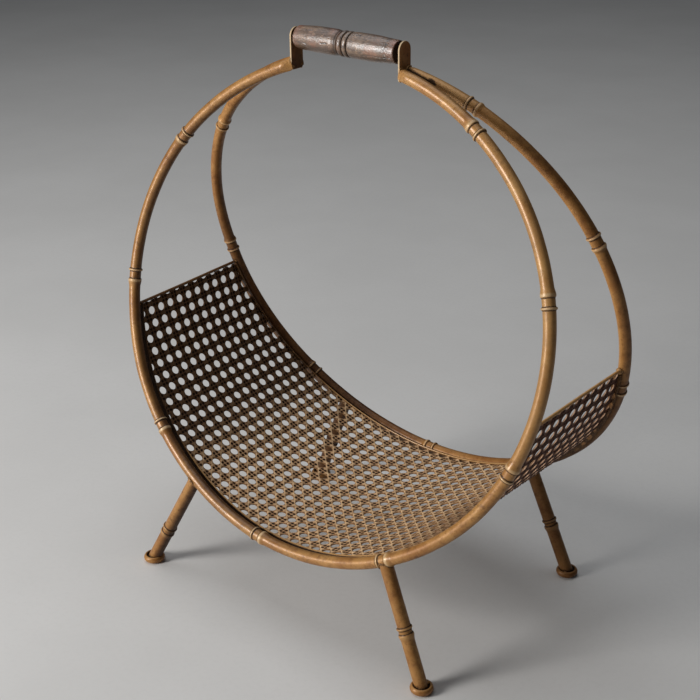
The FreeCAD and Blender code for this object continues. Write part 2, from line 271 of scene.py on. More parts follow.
# darker copies of the gold with less shine: painted shade for the back hoop and the legs
GOLD_BACK_SHADED = gold("aged_gold_back_painted_shade", 0.89, 1.03, spec=0.24, coat=0.13)
LEGGOLD_SHADED = gold("aged_gold_legs", 0.74, 1.03, spec=0.28, coat=0.15)
LEG_BACK_SHADED = gold("aged_gold_back_legs_painted_shade", 0.40, 1.10, spec=0.20, coat=0.08)
# a paler copy of the gold: painted highlight for the right edge rod
ROD_GOLD_LIT = gold("aged_gold_painted_highlight", 1.10, 1.0)


def sheet_material():
    """The same lacquer on the embossed sheet: browner; painted shade up the sides, in the dimples and on the outer
    face, and painted highlights on the strands and at the hole edges.
    """
    m = Nodes("pierced_sheet_lacquer")
    broad = m.noise(16.0, 4.0, 0.55)
    patch = m.noise(90.0, 4.0, 0.6)
    fine = m.noise(700.0, 4.0, 0.6)
    pit, ridge, rim, under, lit_bottom = m.attr("pit"), m.attr("ridge"), m.attr("rim"), m.attr("under"), m.attr("lit_bottom")
    lit_weight = m.math("ADD", m.math("MULTIPLY", lit_bottom, 0.88), 0.12)
    colour = m.mix(m.ramp(broad, 0.34, 0.68), rgb(0.120, 0.052, 0.018), rgb(0.185, 0.086, 0.032))
    colour = m.mix(m.ramp(patch, 0.5, 0.8, 0.0, 0.6), colour, rgb(0.13, 0.060, 0.022))
    colour = m.mix(m.ramp(fine, 0.58, 0.75, 0.0, 0.5), colour, rgb(0.09, 0.042, 0.016))
    # painted shade: darker up the trough's sides, lighter towards its bottom
    colour = m.mix(m.math("SUBTRACT", 0.72, m.math("MULTIPLY", lit_bottom, 0.72)), colour, rgb(0.045, 0.018, 0.007))
    # painted highlight: the strands are lightened, most near the bottom and along the leading slant, standing in for
    # the light on the embossed strands
    strand = m.math("MULTIPLY", m.ramp(ridge, 0.15, 0.7), m.ramp(patch, 0.3, 0.65, 0.7, 1.0))
    speck = m.noise(430.0, 4.0, 0.66, m.stretch((1.0, 1.0, 1.0), (0.61, 0.23, 0.47)))
    strand_highlight = m.mix(m.ramp(speck, 0.50, 0.66, 0.0, 0.85), rgb(0.76, 0.485, 0.265), rgb(0.27, 0.115, 0.048))
    strand_highlight = m.mix(m.ramp(speck, 0.46, 0.34, 0.0, 0.9), strand_highlight, rgb(0.95, 0.68, 0.42))
    strand_highlight = m.mix(m.math("SUBTRACT", 0.30, m.math("MULTIPLY", m.attr("lead"), 0.30)), strand_highlight, rgb(0.25, 0.112, 0.046))
    strand_highlight = m.mix(m.math("MULTIPLY", m.attr("lead"), m.ramp(speck, 0.36, 0.62, 0.75, 0.25)), strand_highlight, rgb(0.98, 0.70, 0.40))
    colour = m.mix(m.math("MULTIPLY", strand, lit_weight), colour, strand_highlight)
    # painted shade: the dimples are filled with near black
    colour = m.mix(m.ramp(pit, 0.02, 0.42, 0.0, 0.97), colour, rgb(0.012, 0.005, 0.002))
    # painted shade: the outer face of the sheet is made much darker
    strand_out = m.math("MULTIPLY", m.ramp(ridge, 0.15, 0.7), m.ramp(patch, 0.3, 0.65, 0.6, 1.0))
    outer = m.mix(strand_out, rgb(0.040, 0.011, 0.004), rgb(0.115, 0.036, 0.014))
    colour = m.mix(m.math("MULTIPLY", under, 0.90), colour, outer)
    # painted highlight: the hole edges are lightened, near the bottom and on the right end, where their walls catch
    # light
    colour = m.mix(m.math("MULTIPLY", m.ramp(rim, 0.70, 1.0), m.math("MULTIPLY", lit_weight, 0.5)), colour, rgb(0.47, 0.265, 0.115))
    colour = m.mix(m.math("MULTIPLY", m.ramp(rim, 0.90, 1.0), m.attr("lit")), colour, rgb(0.50, 0.32, 0.21))
    m.set(Base_Color=colour, Metallic=0.15)
    m.set(Roughness=m.math("ADD", m.ramp(patch, 0.3, 0.75, 0.46, 0.60), m.math("MULTIPLY", pit, 0.3), True))
    m.bsdf.inputs["Specular IOR Level"].default_value = 0.14
    m.set(Normal=m.bump(fine, 0.2, 0.00012, m.bump(patch, 0.2, 0.0003)))
    return m.mat


def wood_material():
    """Turned wood, weathered and rubbed: greyish brown with red-brown at the edges, dark grain, flecks and knocks;
    painted shade underneath, in the grooves and at the ends, and a painted highlight along the top.
    """
    m = Nodes("weathered_turned_wood")
    grain = m.noise(1.0, 5.0, 0.62, m.stretch((48.0, 420.0, 420.0)), 0.5)
    streak = m.noise(1.0, 3.0, 0.55, m.stretch((16.0, 105.0, 105.0), (3.1, 1.7, 0.4)), 0.8)
    cloud = m.noise(62.0, 5.0, 0.62)
    fine = m.noise(1400.0, 3.0, 0.6)
    flecks = m.noise(1.0, 3.0, 0.55, m.stretch((150.0, 620.0, 620.0), (0.7, 0.2, 0.9)))
    dots = m.noise(520.0, 3.0, 0.6)
    groove_shade, crack, red = m.attr("groove_shade"), m.attr("crack"), m.attr("red")
    speck = m.noise(400.0, 5.0, 0.72, m.stretch((0.7, 1.0, 1.0), (0.13, 0.41, 0.27)))
    colour = m.mix(m.ramp(streak, 0.36, 0.64), rgb(0.080, 0.038, 0.018), rgb(0.175, 0.102, 0.056))
    colour = m.mix(m.ramp(cloud, 0.52, 0.72, 0.0, 0.6), colour, rgb(0.25, 0.168, 0.105))
    colour = m.mix(m.ramp(speck, 0.51, 0.66, 0.0, 0.80), colour, rgb(0.360, 0.215, 0.120))
    colour = m.mix(m.ramp(speck, 0.46, 0.33, 0.0, 0.85), colour, rgb(0.030, 0.014, 0.007))
    reddish = m.math("ADD", m.ramp(cloud, 0.34, 0.50, 0.6, 0.0), red, True)
    colour = m.mix(m.math("MULTIPLY", reddish, m.ramp(dots, 0.35, 0.6, 0.45, 1.0)), colour, rgb(0.240, 0.072, 0.026))
    colour = m.mix(m.ramp(grain, 0.52, 0.70, 0.0, 0.45), colour, rgb(0.050, 0.026, 0.016))
    colour = m.mix(m.ramp(flecks, 0.60, 0.70, 0.0, 0.85), colour, rgb(0.026, 0.013, 0.008))
    colour = m.mix(m.ramp(dots, 0.62, 0.74, 0.0, 0.55), colour, rgb(0.38, 0.29, 0.22))
    # painted shade under the grip, and a painted highlight as a paler greyish band along its top
    colour = m.mix(m.attr("shade"), colour, rgb(0.046, 0.024, 0.010))
    colour = m.mix(m.attr("highlight_band"), colour, rgb(0.270, 0.238, 0.226))
    # painted shade: near black in the bead grooves, the valley left of them and at the grip's ends
    colour = m.mix(m.ramp(groove_shade, 0.2, 0.9, 0.0, 0.96), colour, rgb(0.014, 0.008, 0.006))
    colour = m.mix(m.ramp(crack, 0.12, 0.7, 0.0, 0.94), colour, rgb(0.022, 0.012, 0.008))
    m.set(Base_Color=colour)
    m.set(Roughness=m.math("ADD", m.ramp(speck, 0.3, 0.7, 0.34, 0.50), m.math("MULTIPLY", groove_shade, 0.35), True))
    b = m.bump(grain, 0.5, 0.0004)
    b = m.bump(dots, 0.3, 0.0003, b)
    b = m.bump(speck, 0.42, 0.0006, b)
    b = m.bump(fine, 0.14, 0.00010, b)
    m.set(Normal=b, Coat_Normal=b)
    m.bsdf.inputs["Specular IOR Level"].default_value = 0.25
    m.set(Coat_Weight=m.math("SUBTRACT", 1.0, m.math("MULTIPLY", groove_shade, 0.92), True))
    m.bsdf.inputs["Coat Roughness"].default_value = 0.32
    m.bsdf.inputs["Coat IOR"].default_value = 1.68
    return m.mat


def steel_material():
    m = Nodes("dull_rod_steel")
    patch = m.noise(260.0, 4.0, 0.6)
    fine = m.noise(1500.0, 3.0, 0.6)
    colour = m.mix(m.ramp(patch, 0.4, 0.7), rgb(0.16, 0.12, 0.09), rgb(0.09, 0.05, 0.03))
    m.set(Base_Color=colour, Metallic=0.8, Roughness=m.ramp(fine, 0.3, 0.7, 0.38, 0.6))
    m.set(Normal=m.bump(fine, 0.2, 0.0001))
    return m.mat


def floor_material():
    m = Nodes("pale_floor")
    broad = m.noise(3.0, 4.0, 0.6)
    fine = m.noise(160.0, 4.0, 0.6)
    colour = m.mix(m.ramp(broad, 0.3, 0.7), rgb(0.69, 0.68, 0.66), rgb(0.73, 0.72, 0.70))
    colour = m.mix(m.ramp(fine, 0.45, 0.7, 0.0, 0.25), colour, rgb(0.66, 0.65, 0.63))
    m.set(Base_Color=colour, Roughness=m.ramp(fine, 0.3, 0.7, 0.72, 0.85))
    m.set(Normal=m.bump(fine, 0.1, 0.0003))
    return m.mat


SHEET = sheet_material()
WOOD = wood_material()
STEEL = steel_material()


# ----------------------------------------------------------------------------
# the oval of the hoops
# ----------------------------------------------------------------------------
def basis(side):
    """Middle, X, up in the plane and inwards across it, of the front (-1) or back (+1) hoop."""
    return (
        np.array([0.0, side * MID_Y, MID_Z]),
        X_AXIS,
        np.array([0.0, -side * math.sin(LEAN), math.cos(LEAN)]),
        np.array([0.0, -side * math.cos(LEAN), -math.sin(LEAN)]),
    )


def oval(degrees):
    """x, height and outward normal on the oval at angles from its top towards +X."""
    a = np.radians(degrees)
    ux, uy = np.sin(a), np.cos(a)
    flank = np.abs(ux) >= np.abs(uy)
    cx = np.where(flank, np.copysign(SHIFT, ux), 0.0)
    cy = np.where(flank, 0.0, -np.copysign(SHIFT, uy))
    r = np.where(flank, SIDE, TOP)
    b = ux * cx + uy * cy
    reach = b + np.sqrt(b * b - cx * cx - cy * cy + r * r)
    x, y = reach * ux, reach * uy
    return x, y, (x - cx) / r, (y - cy) / r


def leg_line(side, hand):
    """Foot end and hoop end of a leg's axis."""
    c, ex, up, inn = basis(side)
    x, h, _, _ = oval(np.array([180.0 - hand * LEG_ANGLE]))
    top = c + x[0] * ex + h[0] * up
    reach = FOOT_X_FRONT_LEFT if side < 0 and hand < 0 else FOOT_X
    end = np.array([hand * reach, side * FOOT_Y, LEG_END_Z])
    return end, top


def near_line(points, a, b):
    d = (b - a) / np.linalg.norm(b - a)
    t = (points - a) @ d
    return np.linalg.norm(points - a - t[:, None] * d, axis=1), t


def ring_shape(s, rings):
    """Height over the bar, painted crevice shade and the rubbed, highlighted ring tops, along a bar with bamboo joints.
    A ring is its place, height, half width and the length of its taper before and after."""
    rise, grime_and_shade, wear_and_highlight = np.zeros_like(s), np.zeros_like(s), np.zeros_like(s)
    for place, height, width, before, after in rings:
        d = s - place
        core = height * np.sqrt(np.clip(1.0 - (d / width) ** 2, 0.0, 1.0))
        for sign, taper in ((-1, before), (1, after)):
            e = d * sign
            on = e > 0
            if taper > 0:
                fall = np.where(on & (e < taper), height * (0.5 + 0.5 * np.cos(np.pi * np.clip(e / taper, 0, 1))), 0.0)
                core = np.maximum(core, fall)
            else:
                foot = np.where(on & (e < width + 0.9), 0.28 * np.clip(1 - (e - width) / 0.9, 0, 1) ** 2, 0.0)
                core = np.maximum(core, np.where(e > width * 0.8, foot, 0.0))
                grime_and_shade = np.maximum(grime_and_shade, np.where(on, np.exp(-(((e - width - 0.25) / 0.75) ** 2)), 0.0))
        rise = np.maximum(rise, core)
        wear_and_highlight = np.maximum(wear_and_highlight, np.clip(core / height, 0, 1) ** 2)
    return rise, grime_and_shade, wear_and_highlight


def stations(length, rings, base):
    s = [np.arange(0.0, length, base), [length]]
    for place, height, width, before, after in rings:
        s.append(place + np.linspace(-2.6, 2.6, 27))
        s.append(place + np.linspace(-12.0, 12.0, 25))
    s = np.unique(np.round(np.clip(np.concatenate(s), 0.0, length), 3))
    keep = np.concatenate([[True], np.diff(s) > 0.08])
    return s[keep]


def make_hoop(name, side, joints, both_sharp, replaces, material):
    c, ex, up, inn = basis(side)
    xr, xl = PLATE_R + PLATE_T - 1.3, PLATE_L - PLATE_T + 1.3
    start = math.degrees(math.atan2(xr, -SHIFT + math.sqrt(TOP ** 2 - xr ** 2)))
    stop = 360.0 - math.degrees(math.atan2(-xl, -SHIFT + math.sqrt(TOP ** 2 - xl ** 2)))
    th = np.linspace(start, stop, 30001)
    x, h, nx, ny = oval(th)
    run = np.concatenate([[0.0], np.cumsum(np.hypot(np.diff(x), np.diff(h)))])
    half = math.degrees(5.4 / 250.0)
    rings = []
    for k, a in enumerate(joints):
        sa, sb = np.interp([a - half, a + half], th, run)
        vary = 0.08 * math.sin(5.1 * k + side)
        if both_sharp:
            rings.append((sa, 1.28 + vary, 1.45, 0, 0))
            rings.append((sb, 1.22 - vary, 1.6, 0, 4.5))
        else:
            rings.append((sa, 1.08 + vary, 1.7, 7.5, 0))
            rings.append((sb, 1.32 - vary, 1.35, 0, 0))
    s = stations(run[-1], rings, 4.0)
    rise, grime_and_shade, wear_and_highlight = ring_shape(s, rings)
    grime_and_shade *= 0.85 if both_sharp else 0.9
    # the ring tops get a painted highlight, with some rubbing
    crest_wear_and_highlight = np.repeat(step(0.55, 0.95, wear_and_highlight), 36)
    for a in joints:
        rise = rise + 0.12 * np.exp(-(((s - np.interp(a, th, run)) / 13.0) ** 2))
    px, ph = np.interp(s, run, x), np.interp(s, run, h)
    qx, qh = np.interp(s, run, nx), np.interp(s, run, ny)
    # bent by hand: on the left, above the sheet, the front hoop lies a little inside the oval and the back hoop outside it
    if side < 0:
        stray = np.interp(np.interp(s, run, th), [243, 250, 258, 272, 300, 330, 340, 348], [0.0, -0.8, -1.6, -1.9, -1.9, -1.8, -1.0, 0.0])
    else:
        stray = np.interp(np.interp(s, run, th), [264, 279, 293, 300, 308, 320, 334, 347], [0.0, 2.0, 2.8, 3.2, 3.5, 2.9, 1.3, 0.0])
    px, ph = px + stray * qx, ph + stray * qh
    centre = c + px[:, None] * ex + ph[:, None] * up
    first = qx[:, None] * ex + qh[:, None] * up
    second = np.repeat(inn[None], len(s), 0)
    cols = 36
    radius = BAR - 0.06 + rise + 0.05 * rough(np.stack([s, 0 * s, 0 * s], 1), 0.035, side)
    ends = np.minimum(s, run[-1] - s)
    radius -= 1.1 * (1 - step(0.0, 1.5, ends)) ** 2
    verts = sweep(centre, first, second, radius, cols)
    dents = rough(verts, 0.09, 3 + side) * 0.045
    out = (verts.reshape(len(s), cols, 3) - centre[:, None]).reshape(-1, 3)
    verts = verts + out / np.linalg.norm(out, axis=1)[:, None] * dents[:, None]
    near_end = np.repeat(ends, cols)
    over = np.clip(np.abs(verts[:, 1]) - 8.3, 0.0, None) * (near_end < 9.0) * (verts[:, 2] > 500.0)
    verts[:, 1] -= np.sign(verts[:, 1]) * over * (1 - step(0.5, 8.5, near_end)) * 0.88
    # painted shade near the bar's ends at the plates, and where the legs and rods join the hoop, with the dark weld
    # seam
    grime_and_shade = np.repeat(np.maximum(grime_and_shade, 0.15 * np.exp(-((ends / 2.6) ** 2))), cols)
    wear_and_highlight = np.repeat(wear_and_highlight, cols)
    for hand in (-1, 1):
        a, b = leg_line(side, hand)
        d, t = near_line(verts, a, b)
        near = (t > np.linalg.norm(b - a) - 14) & (t < np.linalg.norm(b - a) - 1.0)
        grime_and_shade = np.maximum(grime_and_shade, np.where(near, np.exp(-((np.clip(d - LEG_R, -2, None) / 1.7) ** 2)), 0.0))
        rx, rz = rod_line(hand, side * 76.0)
        rod_end = np.array([rx, side * (MID_Y + (MID_Z - rz) * math.tan(LEAN) - 4.0), rz])
        grime_and_shade = np.maximum(grime_and_shade, 0.8 * np.exp(-((np.linalg.norm(verts - rod_end, axis=1) / 4.6) ** 4)))
    angle = np.tile(np.linspace(0, 2 * np.pi, cols, endpoint=False), len(s))
    # painted shade on the inner side of the low bars, next to the strip
    low = np.repeat((ph < -42.0).astype(float), cols)
    grime_and_shade = np.maximum(grime_and_shade, 0.55 * low * step(0.80, 0.99, np.sin(angle)))
    turn = np.repeat(np.interp(s, run, th), cols)
    # painted shade on chosen stretches and sides of the back hoop, and painted light on its top right and on the lit
    # side of its right part
    if side > 0:
        deep = np.interp(turn, [20, 45, 95, 104, 131, 150, 165, 180, 194, 205, 260, 270, 300, 322, 345],
                         [0.0, 0.24, 0.24, 0.78, 0.90, 0.58, 0.32, 0.32, 0.72, 1.0, 0.96, 0.84, 0.98, 1.0, 0.9])
        away = (verts - np.repeat(centre, cols, 0)) @ np.array([0.77, 0.64, 0.0]) / BAR
        upper = step(264.0, 282.0, turn) * step(352.0, 340.0, turn)
        deep = deep * (1 - upper) + upper * (0.10 + 0.62 * step(-0.55, 0.10, away) + 0.18 * step(292.0, 276.0, turn))
        right = step(34.0, 48.0, turn) * step(106.0, 96.0, turn)
        deep = deep * (1 - right) + right * (0.04 + 0.58 * step(-0.35, 0.60, np.cos(angle)))
        wear_and_highlight = np.maximum(wear_and_highlight, np.maximum(1.0 * step(40.0, 26.0, turn), 0.35 * right * step(0.1, -0.6, np.cos(angle))))
    else:
        # painted shade on the inner side of the front hoop's left part, and painted light on a stretch of its right
        # part
        left = step(158.0, 206.0, turn) * step(350.0, 318.0, turn)
        deep = left * (0.08 + 0.16 * step(224.0, 200.0, turn) + 0.74 * step(0.10, -0.85, np.cos(angle) - 0.35 * np.sin(angle)))
        wear_and_highlight = np.maximum(wear_and_highlight, 0.45 * step(38.0, 52.0, turn) * step(112.0, 98.0, turn))
    # painted shade in the crease where the two hoops run close
    other = np.repeat(centre * np.array([1.0, -1.0, 1.0]), cols, 0)
    gap = np.linalg.norm(verts - other, axis=1) - BAR
    grime_and_shade = np.maximum(grime_and_shade, 0.95 * step(6.2 if side > 0 else 2.6, 3.4 if side > 0 else 0.4, gap + 0.5 * rough(verts, 0.25, 7)))
    if side > 0:
        chip = np.linalg.norm((verts - np.array([79.7, 2.0, 547.0])) * np.array([0.75, 1.0, 1.0]), axis=1) + 1.0 * rough(verts, 0.5, 17)
        grime_and_shade = np.maximum(grime_and_shade, 1.4 * step(4.6, 3.2, chip))
    # painted shade on two stretches of the back hoop
    if side > 0:
        grime_and_shade = np.maximum(grime_and_shade, np.interp(turn, [112, 125, 138, 147, 195, 204, 224, 240], [0.0, 0.36, 0.36, 0.0, 0.0, 0.5, 0.44, 0.0]))
    # the ring tops lose some painted shade, and their painted highlight is spread along the hoop as listed
    deep = deep * (1 - 0.6 * crest_wear_and_highlight)
    crest_wear_and_highlight = crest_wear_and_highlight * np.where(deep > 0.6, 0.45, 1.0) * np.interp(turn, [0, 190, 215, 245, 275, 360], [0.7, 0.8, 1.0, 1.0, 0.5, 0.5] if side < 0 else [0.75, 0.6, 0.5, 0.5, 0.3, 0.3])
    verts[:, 0] = np.clip(verts[:, 0], -265.2, 263.88)
    faces = grid(len(s), cols)
    faces.append(tuple(range(cols - 1, -1, -1)))
    faces.append(tuple((len(s) - 1) * cols + k for k in range(cols)))
    return piece(name, verts, faces, material, replaces=replaces, values={"grime_and_shade": grime_and_shade, "wear_and_highlight": wear_and_highlight, "deep": deep, "crest_wear_and_highlight": crest_wear_and_highlight}, sharp=50)


make_hoop("front_bamboo_hoop", -1, FRONT_RINGS, False, ("front_hoop", "front_hoop_rings"), GOLD)
make_hoop("back_bamboo_hoop", 1, BACK_RINGS, True, ("back_hoop", "back_hoop_rings"), GOLD_BACK_SHADED)


# ----------------------------------------------------------------------------
# welds
# ----------------------------------------------------------------------------
def bead(path, reference, size, seed):
    """A run of weld along a closed path: uneven, with a ripple."""
    n = len(path)
    along = np.roll(path, -1, 0) - np.roll(path, 1, 0)
    along /= np.linalg.norm(along, axis=1)[:, None]
    first = reference - (reference * along).sum(1)[:, None] * along
    first /= np.linalg.norm(first, axis=1)[:, None]
    second = np.cross(along, first)
    size = size * (1 + 0.22 * rough(path, 0.45, seed) + 0.10 * np.sin(np.arange(n) * 2 * np.pi / n * 17))
    cols = 12
    verts = sweep(path, first, second, size, cols)
    return verts, grid(n, cols, 0, True)


def lump(centre, axes, seed, detail=4, amount=0.22):
    """A small uneven blob of weld metal; axes are its three half axes as rows."""
    bm = bmesh.new()
    bmesh.ops.create_icosphere(bm, subdivisions=detail, radius=1.0)
    unit = np.array([v.co[:] for v in bm.verts])
    faces = [tuple(v.index for v in f.verts) for f in bm.faces]
    bm.free()
    r = 1 + amount * rough(unit, 1.6, seed) + 0.35 * amount * rough(unit, 4.5, seed + 3)
    return centre + (unit * r[:, None]) @ np.asarray(axes, float), faces


def joined(parts):
    verts, faces, base = [], [], 0
    for v, f in parts:
        verts.append(v)
        faces += [tuple(i + base for i in g) for g in f]
        base += len(v)
    return np.concatenate(verts), faces


# ----------------------------------------------------------------------------
# legs and feet
# ----------------------------------------------------------------------------
def make_leg(side, hand):
    word = ("front" if side < 0 else "back") + ("_left" if hand < 0 else "_right")
    paint = LEGGOLD_SHADED if side < 0 else LEG_BACK_SHADED
    end, top = leg_line(side, hand)
    c, ex, up, inn = basis(side)
    length = np.linalg.norm(top - end)
    axis = (top - end) / length
    first = np.cross(axis, np.array([0.0, 1.0, 0.0]))
    first /= np.linalg.norm(first)
    second = np.cross(axis, first)
    cols = 36
    a = np.linspace(0, 2 * np.pi, cols, endpoint=False)
    wall = LEG_R * (np.cos(a)[:, None] * first + np.sin(a)[:, None] * second)

    def gap(t):
        q = end + t[:, None] * axis + wall - c
        rho = np.hypot(q @ ex, q @ up - SHIFT)
        return np.hypot(rho - TOP, q @ inn)

    lo, hi = np.full(cols, length - 30.0), np.full(cols, length - 0.5)
    for _ in range(40):
        mid = (lo + hi) / 2
        far = gap(mid) > BAR - 0.35
        lo, hi = np.where(far, mid, lo), np.where(far, hi, mid)
    cope = lo
    one, two = (0.395, 0.335) if side < 0 and hand < 0 else (0.475, 0.42)
    rings = [(length * one, 1.22, 1.35, 0, 0), (length * two, 1.05, 1.6, 6.0, 0)]
    s = stations(length - 22.0, rings, 3.0)
    rise, grime_and_shade, wear_and_highlight = ring_shape(s, rings)
    radius = LEG_R - 0.05 + rise + 0.06 * rough(np.stack([s, 0 * s + 40 * hand, 0 * s + 90 * side], 1), 0.05, 5)
    ones = np.ones(len(s))[:, None]
    verts = sweep(end + s[:, None] * axis, first * ones, second * ones, radius, cols)
    rows = [verts.reshape(-1, cols, 3)]
    cr = [np.repeat(grime_and_shade, cols).reshape(-1, cols)]
    # painted shade, with the dark weld seam, where the leg meets the hoop
    for f in (0.15, 0.3, 0.45, 0.6, 0.72, 0.82, 0.9, 0.96, 1.0):
        t = s[-1] + (cope - s[-1]) * f
        rows.append((end + t[:, None] * axis + wall * (radius[-1] / LEG_R))[None])
        cr.append(np.exp(-(((cope - t) / 2.3) ** 2))[None])
    verts = np.concatenate(rows).reshape(-1, 3)
    grime_and_shade = np.concatenate(cr).reshape(-1)
    # painted shade near the floor
    grime_and_shade = np.maximum(grime_and_shade, 0.9 * np.exp(-((np.clip(verts[:, 2] - 6.5, 0, None) / 2.2) ** 2)))
    wear_and_highlight = np.concatenate([np.repeat(wear_and_highlight, cols), np.zeros(9 * cols)])
    verts = verts + 0.05 * rough(verts, 0.12, 2)[:, None] * np.tile(wall / LEG_R, (len(verts) // cols, 1))
    # painted shade on the side of the front left leg turned away from the light, and over the whole back left leg
    facing = np.tile(wall / LEG_R, (len(verts) // cols, 1)) @ np.array([0.77, 0.64, 0.0])
    deep = 0.92 * step(-0.70, 0.05, facing) if side < 0 and hand < 0 else np.full(len(verts), 0.80 if hand < 0 else 0.0)
    if side < 0 and hand < 0:
        grime_and_shade = np.maximum(grime_and_shade, 0.62 * step(-0.25, 0.35, facing))
    faces = grid(len(verts) // cols, cols)
    faces.append(tuple(range(cols - 1, -1, -1)))
    faces.append(tuple(len(verts) - cols + k for k in range(cols)))
    piece(word + "_bamboo_leg", verts, faces, paint, replaces=(word + "_leg", word + "_leg_rings"),
          values={"grime_and_shade": grime_and_shade, "wear_and_highlight": wear_and_highlight, "deep": deep}, sharp=55)

    # weld round the cope
    b = np.linspace(0, 2 * np.pi, 72, endpoint=False)
    t = np.interp(b, np.append(a, 2 * np.pi), np.append(cope, cope[0]))
    path = end + (t - 0.25)[:, None] * axis + (LEG_R + 0.12) * (np.cos(b)[:, None] * first + np.sin(b)[:, None] * second)
    v, f = bead(path, np.repeat(axis[None], 72, 0), 0.95, 11 + side + 2 * hand)
    dark = 0.5 + 0.35 * rough(v, 0.35, 8)
    piece(word + "_leg_weld", v, f, paint, values={"grime_and_shade": np.clip(dark, 0, 1), "wear_and_highlight": np.clip(0.6 - dark, 0, 1)})

    # foot: a round pad with a sunk top that the leg stands in
    prof = [(0.0, 0.25), (5.0, 0.12), (7.2, 0.0), (8.6, 0.16), (9.8, 0.75), (10.7, 1.6), (11.25, 2.6), (11.5, 3.6), (11.55, 4.4), (11.35, 5.4),
            (10.95, 6.3), (10.3, 7.1), (9.6, 7.55), (9.0, 7.62), (8.55, 7.4), (8.2, 6.9), (7.9, 6.0), (7.5, 5.0), (6.6, 4.3), (4.0, 4.1), (0.0, 4.1)]
    prof = np.array(prof)
    cols = 56
    b = np.linspace(0, 2 * np.pi, cols, endpoint=False)
    rows = []
    for r, z in prof[1:-1]:
        p = np.stack([r * np.cos(b), r * np.sin(b), np.full(cols, z)], 1)
        wob = 1 + 0.010 * rough(p, 0.16, 20 + side + hand)
        p[:, :2] *= np.minimum(wob, 1.004)[:, None]
        if 1.0 < z < 7.9 and r > 7.0:
            p[:, 2] += 0.12 * rough(p, 0.2, 30 + side * 2 + hand)
        rows.append(p)
    v = np.concatenate(rows)
    v = np.concatenate([v, [[0, 0, prof[0][1]], [0, 0, prof[-1][1]]]])
    n = len(rows)
    f = grid(n, cols)
    f += [((k + 1) % cols, k, n * cols) for k in range(cols)]
    f += [((n - 1) * cols + k, (n - 1) * cols + (k + 1) % cols, n * cols + 1) for k in range(cols)]
    v[:, 2] = np.clip(v[:, 2], 0.0, 8.0)
    rad = np.hypot(v[:, 0], v[:, 1])
    # painted shade in the sunk top and along the bottom
    grime_and_shade = np.clip(step(8.9, 8.0, rad) * step(3.0, 4.5, v[:, 2]) + 0.5 * step(1.2, 0.2, v[:, 2]), 0, 1)
    wear_and_highlight = np.exp(-(((rad - 9.7) / 0.9) ** 2)) * step(6.5, 7.4, v[:, 2]) * 0.8
    v = v + np.array([end[0], end[1], 0.0])
    piece(word + "_round_foot", v, f, paint, replaces=(word + "_foot",), values={"grime_and_shade": grime_and_shade, "wear_and_highlight": wear_and_highlight}, sharp=60)

    # tack of weld where the leg meets the pad, on the outer side
    out = np.array([axis[0], axis[1], 0.0])
    out = -out / np.linalg.norm(out)
    turn = np.array([-out[1], out[0], 0.0])
    way = 0.25 * out - 0.97 * turn * hand * side
    way /= np.linalg.norm(way)
    spot = np.array([end[0], end[1], 6.5]) + way * 7.9 + axis * np.array([1.0, 1.0, 0.0]) * 2.0
    v, f = lump(spot, 1.15 * np.array([[1.3, 0, 0], [0, 1.3, 0], [0, 0, 0.95]]), 40 + side + 3 * hand, 3)
    piece(word + "_foot_tack", v, f, paint, values={"grime_and_shade": np.full(len(v), 0.05), "wear_and_highlight": np.full(len(v), 0.9)})


for side in (-1, 1):
    for hand in (-1, 1):
        make_leg(side, hand)


# ----------------------------------------------------------------------------
# plates, rod and grip
# ----------------------------------------------------------------------------
def make_plate(name, x0, foot, outward, crown):
    """Thin upright plate: round top, softened lower corners, rubbed edges."""
    half, low = PLATE_W / 2, 3.2
    out = []
    for a in np.linspace(0, math.pi, 41):
        out.append((half * math.cos(a), crown - half + half * math.sin(a)))
    for z in np.linspace(crown - half, foot + low, 14)[1:-1]:
        out.append((-half, z))
    for a in np.linspace(math.pi, 1.5 * math.pi, 9):
        out.append((-half + low + low * math.cos(a), foot + low + low * math.sin(a)))
    for y in np.linspace(-half + low, half - low, 6)[1:-1]:
        out.append((y, foot))
    for a in np.linspace(1.5 * math.pi, 2 * math.pi, 9):
        out.append((half - low + low * math.cos(a), foot + low + low * math.sin(a)))
    for z in np.linspace(foot + low, crown - half, 14)[1:-1]:
        out.append((half, z))
    out = np.array(out)
    n = len(out)
    t = np.roll(out, -1, 0) - np.roll(out, 1, 0)
    t /= np.linalg.norm(t, axis=1)[:, None]
    nrm = np.stack([t[:, 1], -t[:, 0]], 1)
    rows, wear_and_highlight = [], []
    inner = [(3.2, 0.0, 0.0), (1.2, 0.0, 0.0), (0.45, 0.0, 0.15), (0.14, 0.12, 1.0), (0.0, 0.42, 1.0)]
    thick = 1.9
    shift = PLATE_T - thick if outward > 0 else 0.0
    steps = [(i, shift + d, w) for i, d, w in inner] + [(i, shift + thick - d, w) for i, d, w in reversed(inner)]
    for inset, x, w in steps:
        p = out - nrm * inset
        rows.append(np.concatenate([np.full((n, 1), x0 + x), p], 1))
        wear_and_highlight.append(np.full(n, w))
    v = np.concatenate(rows)
    w = np.concatenate(wear_and_highlight)
    face = 0.06 * rough(v, 0.18, x0)
    v[:, 0] += np.clip(face, -0.08, 0.0) * np.where(v[:, 0] > x0 + PLATE_T / 2, 1, -1)
    f = grid(len(steps), n)
    f.append(tuple(range(n - 1, -1, -1)))
    f.append(tuple((len(steps) - 1) * n + k for k in range(n)))
    # painted shade low on the plate, where the bars come in, and over the whole left plate
    grime_and_shade = step(foot + 16, foot + 4, v[:, 2]) * 0.6 * (1 - w)
    deep = np.full(len(v), 0.45 if outward < 0 else 0.0)
    piece(name + "_worn", v, f, PLATE, replaces=(name,), values={"grime_and_shade": grime_and_shade, "wear_and_highlight": w, "deep": deep}, sharp=45)


